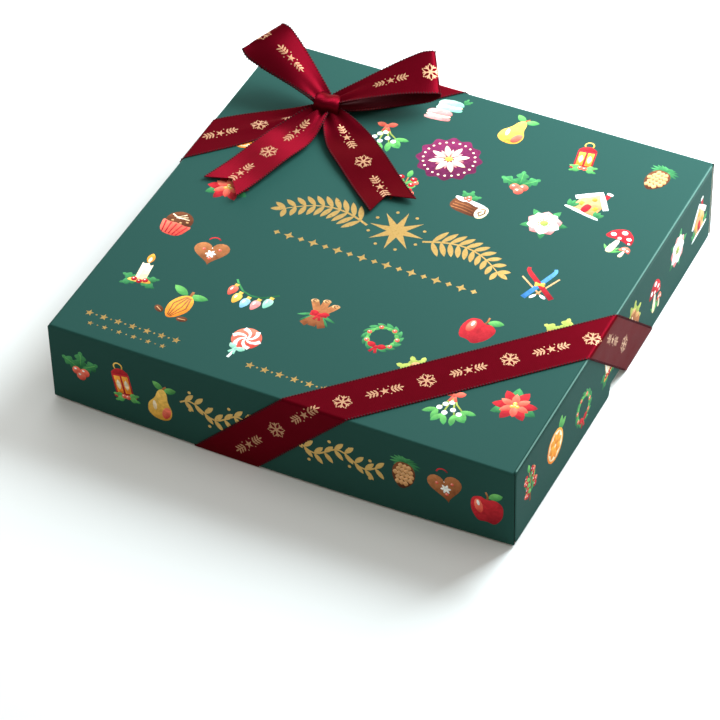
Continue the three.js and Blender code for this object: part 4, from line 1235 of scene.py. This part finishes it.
middle_ornament = (
    foil(star(0, 6, 9.6, 3.2, 8))
    + foil(*[oval(*turned((9.2, 0), a + 22.5) + (0, 6), 0.6, 0.6, 0, 10) for a in range(0, 360, 45)])
    + foil_sprig(1) + foil_sprig(-1)
    + foil(*[star(4.4 * i, -10.6, 1.9 if i % 2 else 1.2, 0.8 if i % 2 else 0.7, 4) for i in range(-8, 9)])
)
garland_steps = np.linspace(-34, 36, 41)
garland_line = np.stack([garland_steps, -WALL_MIDDLE + 2.2 * np.sin(0.36 * garland_steps)], 1)
garland = foil(brush(garland_line, 0.6))
garland += foil(*[leaf(x, y, 4.6, 1.7, bend) for x, y in garland_line[1:-1:2] for bend in (48, -48)])
garland += foil(*[
    oval(x, y + side * 3.6, 0.6, 0.6, 0, 10) for x, y in garland_line[2:-1:4] for side in (-1, 1)
])

# Places of the motifs: staggered rows on the lid, each with its own small shift and turn, and one row on
# each wall whose motifs stand upright on it
TOP_ROWS = [
    (68, [("macarons", -12), ("pear", 13), ("lantern", 39), ("cone", 65)]),
    (47, [("mistletoe", -24), ("rosette", 2), ("holly", 29), ("cottage", 54)]),
    (29, [("orange", -68), ("berry twig", -10), ("log cake", 15), ("winter rose", 41), ("toadstools", 68)]),
    (4, [("poinsettia", -58), ("skis", 55)]),
    (-18, [("truffle", -69), ("acorns", 67)]),
    (-26, [("spiced heart", -48), ("apple", 45)]),
    (-43, [("candle", -67), ("lights", -29), ("cinnamon", -4), ("wreath", 20)]),
    (-55, [("cocoa pod", -46), ("hazelnuts", 34), ("poinsettia", 67)]),
    (-64, [("lollipop", -21), ("mistletoe", 52)]),
]
FRONT_WALL = [
    ("holly", -70), ("lantern", -55), ("pear", -41), ("cone", 44), ("spiced heart", 58), ("apple", 72),
]
RIGHT_WALL = [
    ("berry twig", -69), ("orange", -50), ("wreath", -28), ("candle", -9),
    ("hazelnuts", 12), ("toadstools", 31), ("winter rose", 50), ("cottage", 69),
]
LEFT_WALL = [
    ("cinnamon", -69), ("poinsettia", -49), ("acorns", -29), ("truffle", -9),
    ("skis", 11), ("apple", 31), ("cocoa pod", 50), ("macarons", 69),
]
BACK_WALL = [
    ("lollipop", -68), ("log cake", -47), ("mistletoe", -25), ("orange", -2),
    ("lantern", 21), ("holly", 44), ("hazelnuts", 67),
]

# Painted highlight: a lighter green strip along the middle of the left and right folds, where their rounded
# board would catch the light
lid_art = []
fold_highlight_middle = fold_line + 0.5 * fold_arc
fold_highlight_strip = brush([(fold_highlight_middle, 1 - fold_line), (fold_highlight_middle, fold_line - 1)], FOLD_HIGHLIGHT_WIDTH)
fold_highlight_tone = np.array(linear(FOLD_HIGHLIGHT_GREEN, 0.0))
lid_art += [(side * fold_highlight_strip, fold_highlight_tone, fold_highlight_tone, PAINT_SLOT) for side in (-1, 1)]
for row, (y, spots) in enumerate(TOP_ROWS):
    for column, (motif, x) in enumerate(spots):
        count = 7 * row + 3 * column
        shift = (2.2 * math.sin(2.3 * count), 2.4 * math.cos(1.7 * count))
        lid_art += placed(MOTIFS[motif], x + shift[0], y + shift[1], 16 * math.sin(1.1 * count + 0.4))
for spots, turn in ((FRONT_WALL, 0), (RIGHT_WALL, 90), (BACK_WALL, 180), (LEFT_WALL, 270)):
    for column, (motif, along) in enumerate(spots):
        down = -WALL_MIDDLE + 2.6 * math.sin(2.1 * column + 0.6)
        tilted = placed(MOTIFS[motif], 0, 0, 12 * math.sin(1.9 * column + turn))
        lid_art += placed(placed(tilted, along, down), 0, 0, turn)
lid_art += middle_ornament + garland + foil_row(-56, -70.4, 7, 5.2, 1.5) + foil_row(-56, -74.6, 6, 5.2, 1.1)
lid_art += foil_row(-1, -71, 6, 5.2, 1.6)

lid_piece = formed_sheet(
    "lid_carton", blank_outline, fold_seams, wall_marks, lid_art,
    lambda points, side: fold_blank(points, 0.0, -CARD * side),
    linear(LID_GREEN, 0.0), [board_print, gold_foil, board_back, edge_and_groove_shade],
)
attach(lid_piece, "lid")
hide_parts("lid")


# Ribbon bands: single-face satin ribbon with woven selvedges and a gold print. Each band crosses a corner of
# the lid at 45 degrees, lies flat on the board, and is turned in round the rim and stuck inside the wall.
RIBBON_WIDTH = 16.0
RIBBON_THICKNESS = 0.3
RIBBON_LIFT = 0.2
RIBBON_HEM = 8.0
RIBBON_COLUMNS = 13
BAND_STEPS = 60
PROBE = 0.02
FRONT_OFFSET = 93.96
BACK_OFFSET = 101.9
PRINT_PITCH = 13.8
PRINT_MARGIN = 14.0
STITCH_PITCH = 1.0
STITCH_LENGTH = 0.58
STITCH_WIDTH = 0.95
STITCH_HEIGHT = 0.34
STITCH_INSET = 0.15
SATIN_RED = "#560714"
RIB_SPACING = 0.6
SATIN_DRIFT = 6.25
NAP = 1.43
YARN_TWIST = 0.667
INK_POWDER = 0.556

# The back band at the knot: how far along it sits, and how it draws the ribbon in, aside and up into folds
KNOT_ALONG = 2.7
KNOT_PULL = 1.6
PULL_REACH = 22.0
NECK_WIDTH = 5.0
DRAWN_LENGTH = 40.0
LIFT_HEIGHT = 1.2
LIFT_REACH = 8.0
GATHER_HEIGHT = 0.5
GATHER_PLACE = 0.15
GATHER_REACH = 17.0
CREASE_HEIGHT = 0.7
CREASE_PLACE = 0.1
CREASE_WIDTH = 0.2
CREASE_REACH = 26.0

ribbon_turn = FOLD_RADIUS + RIBBON_LIFT
ribbon_arc = ribbon_turn * math.pi / 2
ribbon_wall = ribbon_arc + LID_TOP - FOLD_RADIUS - LID_RIM
ribbon_rim = ribbon_wall + (CARD / 2 + RIBBON_LIFT) * math.pi
ribbon_end = ribbon_rim + RIBBON_HEM

# Polyester satin: long floats along the ribbon give a coloured, silky sheen, and the fine ribs across it are
# drawn at 0.6 mm so that they show
satin, tree, shader, thread_place, _ = grained(
    "burgundy_satin", ("#5a0412", "#6b081a"), SATIN_DRIFT, {
        "IOR": 1.2, "Specular Tint": linear("#ac4c58"), "Metallic": 0.7, "Anisotropic": 0.97,
        "Anisotropic Rotation": 0.25,
    }, sheet=True, gloss=(0.42, 0.56), Detail=3.0,
)
ribs = add_node(tree, "ShaderNodeTexWave", {
    "Vector": thread_place, "Scale": 2 * math.pi / (20 * RIB_SPACING * MM), "Distortion": 0.6, "Detail": 2.0,
    "Detail Scale": 1.5,
}, wave_type="BANDS", bands_direction="X")
relief = add_node(tree, "ShaderNodeBump", {
    "Height": ribs.outputs["Fac"], "Strength": 0.15, "Distance": 0.06 * MM,
})
tree.links.new(relief.outputs["Normal"], shader.inputs["Normal"])
threads = add_node(tree, "ShaderNodeTangent", direction_type="UV_MAP", uv_map="flat")
tree.links.new(threads.outputs["Tangent"], shader.inputs["Tangent"])

# The back of the satin is dull, because its floats are on the face
satin_back = grained(
    "burgundy_satin_back", ("#3d040d", "#530814"), NAP,
    {"IOR": 1.15, "Roughness": 0.62, "Specular Tint": linear("#ff8196")}, sheet=True, Detail=3.0,
)[0]

# Selvedge yarn is the same red twisted tight, so it looks darker than the satin
selvedge_yarn = grained(
    "selvedge_yarn", ("#26030a", "#47060f"), YARN_TWIST, {"IOR": 1.2, "Roughness": 0.6}, Detail=2.0,
)[0]

# Screen-printed gold ink on satin: pale bronze powder that takes the light unevenly between the ribs
gold_ink = grained(
    "bronze_print_ink", ("#8a5c40", "#c99a74"), INK_POWDER, {"Metallic": 0.4, "IOR": 1.4},
    sheet=True, gloss=(0.35, 0.6), Detail=3.0,
)[0]

# One repeat of the ribbon's print: a six-armed crystal, then a sprig on each side of a star
crystal_print = foil(*[brush([turned((0.5, 0), a), turned((2.7, 0), a)], 0.5) for a in range(0, 360, 60)])
crystal_print += foil(*[
    brush([turned((1.5, 0), a), turned((2.5, side * 0.95), a)], 0.4)
    for a in range(0, 360, 60) for side in (-1, 1)
])
crystal_print += foil(*[oval(*turned((2.9, 0), a + 30), 0.28, 0.28, 0, 8) for a in range(0, 360, 60)])
crystal_print += foil(oval(0, 0, 0.7, 0.7, 0, 12))
sprig_print = foil(star(0, 0, 1.7, 0.65, 5))
for side in (-1, 1):
    lean = 0 if side > 0 else 180
    sprig_print += foil(brush([(side * 2.1, 0), (side * 5.2, 0)], 0.32))
    sprig_print += foil(*[
        leaf(side * at, 0, 1.9, 0.62, lean + side * bend) for at in (2.2, 3.3, 4.4) for bend in (58, -58)
    ], leaf(side * 5, 0, 1.4, 0.62, lean))
    sprig_print += foil(*[oval(side * 1.7, rise, 0.25, 0.25, 0, 8) for rise in (-1.7, 1.7)])


def ribbon_print(first, last, start=0.0):
    """The gold print along a ribbon between two places, counted from start."""
    steps = range(math.ceil((first - start) / PRINT_PITCH), math.floor((last - start) / PRINT_PITCH) + 1)
    return [
        shape for step in steps
        for shape in placed(crystal_print if step % 2 else sprig_print, start + step * PRINT_PITCH, 0)
    ]


def ribbon_skin(middle, points, side):
    """Face (side 0) or back (side 1) of a ribbon whose mid surface is middle(points)."""
    along = middle(points + (PROBE, 0)) - middle(points - (PROBE, 0))
    across = middle(points + (0, PROBE)) - middle(points - (0, PROBE))
    normal = np.cross(along, across)
    normal /= np.linalg.norm(normal, axis=1)[:, None]
    return middle(points) + normal * (0.5 - side) * RIBBON_THICKNESS


# Stitches of the selvedge, by Geometry Nodes: one flat bead of yarn on each point, laid along the edge
stitch_tree, given, stitch_sizes = start_nodes("selvedge_stitches", "Edge points", "Stitches", {
    "Length": STITCH_LENGTH * MM, "Width": STITCH_WIDTH * MM, "Height": STITCH_HEIGHT * MM,
})
bead = add_node(stitch_tree, "GeometryNodeMeshUVSphere", {"Segments": 6, "Rings": 4, "Radius": 0.5})
bead_size = add_node(stitch_tree, "ShaderNodeCombineXYZ", {
    "X": given["Length"], "Y": given["Width"], "Z": given["Height"],
})
edge_run = add_node(stitch_tree, "GeometryNodeInputNamedAttribute", {"Name": "run"}, data_type="FLOAT_VECTOR")
edge_up = add_node(stitch_tree, "GeometryNodeInputNamedAttribute", {"Name": "up"}, data_type="FLOAT_VECTOR")
laid = add_node(stitch_tree, "FunctionNodeAlignRotationToVector", {
    "Vector": edge_run.outputs["Attribute"],
}, axis="X")
flat_laid = add_node(stitch_tree, "FunctionNodeAlignRotationToVector", {
    "Rotation": laid.outputs["Rotation"], "Vector": edge_up.outputs["Attribute"],
}, axis="Z", pivot_axis="X")
stitches = add_node(stitch_tree, "GeometryNodeInstanceOnPoints", {
    "Points": given["Edge points"], "Instance": bead.outputs["Mesh"],
    "Rotation": flat_laid.outputs["Rotation"], "Scale": bead_size.outputs["Vector"],
})
end_nodes(stitch_tree, stitches.outputs["Instances"], selvedge_yarn)


def ribbon_piece(name, node, rows, art, middle):
    """A printed ribbon from rows of flat points across its width, with a stitched selvedge on each edge."""
    rows = np.asarray(rows, float)
    outline = np.concatenate([rows[:-1, 0], rows[-1, :-1], rows[:0:-1, -1], rows[0, :0:-1]])
    made = formed_sheet(
        "ribbon_" + name, outline, rows[1:-1], [], art,
        lambda points, side: ribbon_skin(middle, points, side),
        linear(SATIN_RED), [satin, gold_ink, satin_back, satin_back],
    )
    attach(made, "lid")
    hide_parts(node)
    edge_points = []
    for side, column in ((-1, rows[:, 0, 0]), (1, rows[:, -1, 0])):
        count = int((column.max() - column.min()) / STITCH_PITCH)
        runs = column.min() + (np.arange(count) + 0.5) * STITCH_PITCH
        edge = np.full(count, side * (RIBBON_WIDTH / 2 - STITCH_INSET))
        edge_points.append(np.stack([runs, edge], 1))
    edge_points = np.concatenate(edge_points)
    edge_points = edge_points[middle(edge_points)[:, 2] > LID_RIM + STITCH_WIDTH]
    face = ribbon_skin(middle, edge_points, 0)
    run = middle(edge_points + (PROBE, 0)) - middle(edge_points - (PROBE, 0))
    up = face - middle(edge_points)
    seeds = put_mesh("stitch_seeds", face * MM, [])
    for attribute, values in (("run", run), ("up", up)):
        kept = seeds.data.attributes.new(attribute, "FLOAT_VECTOR", "POINT")
        kept.data.foreach_set("vector", values.ravel())
    selvedge = grown("selvedge_" + name, seeds, stitch_tree, stitch_sizes)
    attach(selvedge, "lid")


def band_rows(offset):
    """Rows across a corner band: up one wall, over the lid and down the other wall."""
    wall_runs = [-1.5, -0.4]
    wall_runs += list(np.linspace(0, ribbon_arc, 8))
    wall_runs += list(np.linspace(ribbon_arc, ribbon_wall, 8)[1:])
    wall_runs += list(np.linspace(ribbon_wall, ribbon_rim, 9)[1:])
    wall_runs += list(np.linspace(ribbon_rim, ribbon_end, 4)[1:])
    w = np.linspace(-0.5, 0.5, RIBBON_COLUMNS) * RIBBON_WIDTH
    first = [math.sqrt(2) * (offset / 2 - fold_line - run) - w for run in wall_runs]
    last = [math.sqrt(2) * (fold_line + run - offset / 2) + w for run in wall_runs]
    between = [first[0] + (last[0] - first[0]) * t for t in np.linspace(0, 1, BAND_STEPS)[1:-1]]
    return [np.stack([s, w], 1) for s in first[::-1] + between + last]


def on_blank(points, offset):
    """A band's flat points on the lid's blank, across the front right corner."""
    s, w = points[:, 0], points[:, 1]
    return np.stack([offset / 2 + (s - w) / math.sqrt(2), -offset / 2 + (s + w) / math.sqrt(2)], 1)


def front_band(points):
    return fold_blank(on_blank(points, FRONT_OFFSET), RIBBON_LIFT, RIBBON_LIFT)


def back_band(points):
    """The same route across the back left corner, drawn in, pleated and lifted under the knot."""
    away = points[:, 0] + KNOT_ALONG
    neck = np.sin(np.clip(np.abs(away) / DRAWN_LENGTH, 0, 1) * math.pi / 2)
    width = NECK_WIDTH + (RIBBON_WIDTH - NECK_WIDTH) * neck
    q = points[:, 1] / (RIBBON_WIDTH / 2)
    pulled = KNOT_PULL * np.exp(-(away / PULL_REACH) ** 2)
    drawn = np.stack([points[:, 0], q * width / 2 + pulled], 1)
    gathered = GATHER_HEIGHT * (1 + np.cos(2 * math.pi * (q - GATHER_PLACE)))
    creased = CREASE_HEIGHT * np.exp(-((q - CREASE_PLACE) / CREASE_WIDTH) ** 2 - (away / CREASE_REACH) ** 2)
    placed_band = fold_blank(on_blank(drawn, BACK_OFFSET), RIBBON_LIFT, RIBBON_LIFT)
    placed_band[:, 2] += LIFT_HEIGHT * np.exp(-(away / LIFT_REACH) ** 2)
    placed_band[:, 2] += gathered * np.exp(-(away / GATHER_REACH) ** 2) + creased
    placed_band[:, :2] *= -1
    return placed_band


bands = [("front", FRONT_OFFSET, front_band, 3.0), ("back", BACK_OFFSET, back_band, 7.0)]
for name, offset, middle, print_start in bands:
    rows = band_rows(offset)
    reach = rows[-1][:, 0].min() - PRINT_MARGIN
    ribbon_piece(
        name, "ribbon_band_" + name, rows, ribbon_print(-reach, reach, print_start), middle,
    )


# Bow: the ribbon's loops, tails and knot, tied by hand on the back band. The loops stand up from the lid
# by their own stiffness, and the tails lie on it and end in swallow-tail cuts.
KNOT_ASIDE = 2.6
KNOT_MIDDLE = 4.2
KNOT_TURN = 14.0
KNOT_WIDTH = 8.8
KNOT_DEPTH = 7.6
KNOT_HEIGHT = 7.0
KNOT_ROLL = 1.4
KNOT_CURL = 3.1
KNOT_SQUARE = 0.9
KNOT_SLANT = 0.3
KNOT_PLEAT = 0.3
KNOT_STEPS = 72
KNOT_COLUMNS = 61
PLEAT_REACH = 9.0
LOOP_PLEAT = 0.5
LOOP_FLARE = 1.12
LOOP_STEPS = 601
DROOP_POWER = 1.6
LEG_CLEARANCE = 0.6
TAIL_PLEAT = 0.8
TAIL_SETTLING = 10.0
TAIL_SPREAD = 18.0
TAIL_WAVE = 0.3
TAIL_WAVE_LENGTH = 30.0
TAIL_WAVE_START = 16.0
TAIL_CUT = 5.6
TAIL_LEAN = 0.6
knot_place = np.array([
    -BACK_OFFSET / 2 + (KNOT_ALONG + KNOT_ASIDE) / math.sqrt(2),
    BACK_OFFSET / 2 + (KNOT_ALONG - KNOT_ASIDE) / math.sqrt(2),
    LID_TOP,
])


def bow_axes(heading, rise=0.0):
    """Directions out from the knot, across the strip and square to both."""
    turn, climb = math.radians(heading), math.radians(rise)
    out = np.array([math.cos(turn), math.sin(turn), 0])
    across = np.array([-math.sin(turn), math.cos(turn), 0])
    axis = out * math.cos(climb) + np.array([0, 0, math.sin(climb)])
    return out, axis, across, np.cross(axis, across)


def loop_middle(heading, rise, start, length, gap, neck_gap, foot, roll, skew, neck, side, cup, shut):
    """Length and mid surface of a teardrop loop that leaves the knot and comes back underneath.

    Its upper leg is cupped: the edge towards the viewer droops by cup. There the lower leg comes up to it
    where shut is 1. Both legs are pleated at the knot.
    """
    out, axis, across, normal = bow_axes(heading, rise)
    origin = knot_place + out * start + np.array([0, 0, foot])

    def at_phase(phase, w):
        phase = phase[:, None]
        swing = np.sin(phase / 2)
        run = length * (1 - np.cos(phase)) / 2
        opened = neck_gap * np.cos(phase / 2) + gap * np.sin(phase) * swing
        leg = math.radians(roll) * swing ** 2
        width = neck + (RIBBON_WIDTH - neck) * np.clip(run / length * LOOP_FLARE, 0, 1)
        ruling = across * side * np.cos(leg) + normal * np.sin(leg) + axis * skew * swing ** 2
        q = side * w[:, None] / (RIBBON_WIDTH / 2)
        sag = cup * np.abs(np.sin(phase)) * swing ** 2
        met = shut * np.clip(-2 * opened - sag - LEG_CLEARANCE, 0, None)
        droop = np.where(phase < math.pi, sag, -met) * np.clip(-q, 0, 1) ** DROOP_POWER
        pleat = LOOP_PLEAT * np.cos(2 * math.pi * q) * np.exp(-(run / PLEAT_REACH) ** 2) * np.cos(phase / 2)
        return origin + axis * run + normal * (opened - droop + pleat) + ruling * (q * width / 2)

    phases = np.linspace(0, 2 * math.pi, LOOP_STEPS)
    line = at_phase(phases, np.zeros(LOOP_STEPS))
    travel = np.concatenate([[0], np.cumsum(np.linalg.norm(np.diff(line, axis=0), axis=1))])
    return travel[-1], lambda points: at_phase(np.interp(points[:, 0], travel, phases), points[:, 1])


def tail_middle(heading, start, foot, rest, tilt, neck):
    """Mid surface of a tail that runs down from the knot and comes to rest on the lid."""
    out, _, across, _ = bow_axes(heading)

    def middle(points):
        run, q = points[:, :1], points[:, 1:] / (RIBBON_WIDTH / 2)
        settled = 1 - np.exp(-(run / TAIL_SETTLING) ** 2)
        width = neck + (RIBBON_WIDTH - neck) * np.sin(np.clip(run / TAIL_SPREAD, 0, 1) * math.pi / 2)
        pleat = TAIL_PLEAT * np.cos(2 * math.pi * (q + 0.12)) * np.exp(-(run / PLEAT_REACH) ** 2)
        wave = TAIL_WAVE * np.sin(2 * math.pi * (run - TAIL_WAVE_START) / TAIL_WAVE_LENGTH - 0.5 * q)
        height = foot + (rest - foot + tilt * q + wave) * settled + pleat
        flat = knot_place + out * (start + run) + across * q * width / 2
        return flat + np.array([0, 0, 1]) * height

    return middle


def even_rows(length, step, cut=0.0, lean=0.0):
    """Rows of a strip of that length; a swallow-tail cut draws in the middle of its far end."""
    q = np.linspace(-1, 1, RIBBON_COLUMNS)
    reach = length - cut * (1 - np.abs(q)) + lean * q
    shares = np.linspace(0, 1, int(length / step) + 1)
    return [np.stack([share * reach, q * RIBBON_WIDTH / 2], 1) for share in shares]


left_length, left_loop = loop_middle(
    heading=165.6, rise=28.3, start=1.6, length=30.6, gap=3.4, neck_gap=1.0, foot=4.9, roll=18.4, skew=-0.16,
    neck=6.0, side=-1, cup=7.0, shut=1,
)
right_length, right_loop = loop_middle(
    heading=36.4, rise=10.3, start=2.6, length=36.1, gap=2.6, neck_gap=0.9, foot=4.7, roll=25.4, skew=0.15,
    neck=5.2, side=1, cup=0.0, shut=0,
)
left_tail = tail_middle(heading=-106.0, start=3.0, foot=3.6, rest=1.5, tilt=0.7, neck=6.0)
right_tail = tail_middle(heading=-40.6, start=3.6, foot=3.2, rest=1.55, tilt=0.25, neck=6.4)
bow_parts = [
    ("loop_left", even_rows(left_length, 0.8), left_loop, "folded", (10, left_length - 10, 18.0)),
    ("loop_right", even_rows(right_length, 0.8), right_loop, "folded", (10, right_length - 10, 20.0)),
    ("tail_left", even_rows(49.6, 1.0, TAIL_CUT, TAIL_LEAN), left_tail, "laid", (10, 42, 12.4)),
    ("tail_right", even_rows(51, 1.0, TAIL_CUT, TAIL_LEAN), right_tail, "laid", (10, 42, 12.8)),
]
for part, rows, middle, held, print_run in bow_parts:
    ribbon_piece(part, "bow_" + part, rows, ribbon_print(*print_run), middle)

# The knot is the same ribbon wrapped once round the crossing, with its edges rolled under
knot_turns = np.linspace(0, 2 * math.pi, KNOT_STEPS, endpoint=False)[:, None]
knot_shares = np.linspace(-1, 1, KNOT_COLUMNS)[None, :]
slanted = knot_shares + KNOT_SLANT * np.sin(knot_turns + 0.7)
ripple = KNOT_PLEAT * (np.cos(4.4 * slanted) + 0.6 * np.cos(9 * knot_shares + 2 * knot_turns + 0.8))
knot_flat = KNOT_WIDTH / 2 - KNOT_ROLL
rolled = np.clip(np.abs(knot_shares) * (knot_flat / KNOT_ROLL + KNOT_CURL) - knot_flat / KNOT_ROLL, 0, None)
level = np.minimum(np.abs(knot_shares) * (knot_flat + KNOT_ROLL * KNOT_CURL), knot_flat)
round_cos = np.sign(np.cos(knot_turns)) * np.abs(np.cos(knot_turns)) ** KNOT_SQUARE
round_sin = np.sign(np.sin(knot_turns)) * np.abs(np.sin(knot_turns)) ** KNOT_SQUARE
skins = []
for inset in (0.0, RIBBON_THICKNESS):
    roll = KNOT_ROLL - inset
    sink = inset + roll * (1 - np.cos(rolled)) - ripple * np.cos(np.minimum(rolled, math.pi / 2))
    spread = np.sign(knot_shares) * (level + roll * np.sin(rolled)) * (0.94 + 0.06 * np.sin(knot_turns - 0.5))
    skins.append(np.stack([
        spread, (KNOT_DEPTH / 2 - sink) * round_cos, (KNOT_HEIGHT / 2 - sink) * round_sin,
    ], 2))
knot_out, _, knot_across, knot_up = bow_axes(KNOT_TURN)
knot_points = np.concatenate([skin.reshape(-1, 3) for skin in skins])
knot_points = knot_points @ np.array([knot_out, knot_across, knot_up])
knot_points += knot_place + np.array([0, 0, KNOT_MIDDLE])
knot_faces = []
for i in range(KNOT_STEPS):
    here, ahead = i * KNOT_COLUMNS, (i + 1) % KNOT_STEPS * KNOT_COLUMNS
    knot_faces += [(here + k, here + k + 1, ahead + k + 1, ahead + k) for k in range(KNOT_COLUMNS - 1)]
inner = KNOT_STEPS * KNOT_COLUMNS
knot_faces += [tuple(inner + p for p in reversed(face)) for face in knot_faces]
for i in range(KNOT_STEPS):
    here, ahead = i * KNOT_COLUMNS, (i + 1) % KNOT_STEPS * KNOT_COLUMNS
    last, last_ahead = here + KNOT_COLUMNS - 1, ahead + KNOT_COLUMNS - 1
    knot_faces.append((here, ahead, inner + ahead, inner + here))
    knot_faces.append((inner + last, inner + last_ahead, last_ahead, last))
knot = smoothed(put_mesh("ribbon_knot", knot_points * MM, knot_faces, [satin, satin_back]))
knot_sheet = np.stack(np.broadcast_arrays(
    knot_turns * KNOT_DEPTH / 2, knot_shares * RIBBON_WIDTH / 2,
), 2).reshape(-1, 2)
keep_flat(knot.data, np.concatenate([knot_sheet, knot_sheet]))
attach(knot, "lid")
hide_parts("bow_knot")
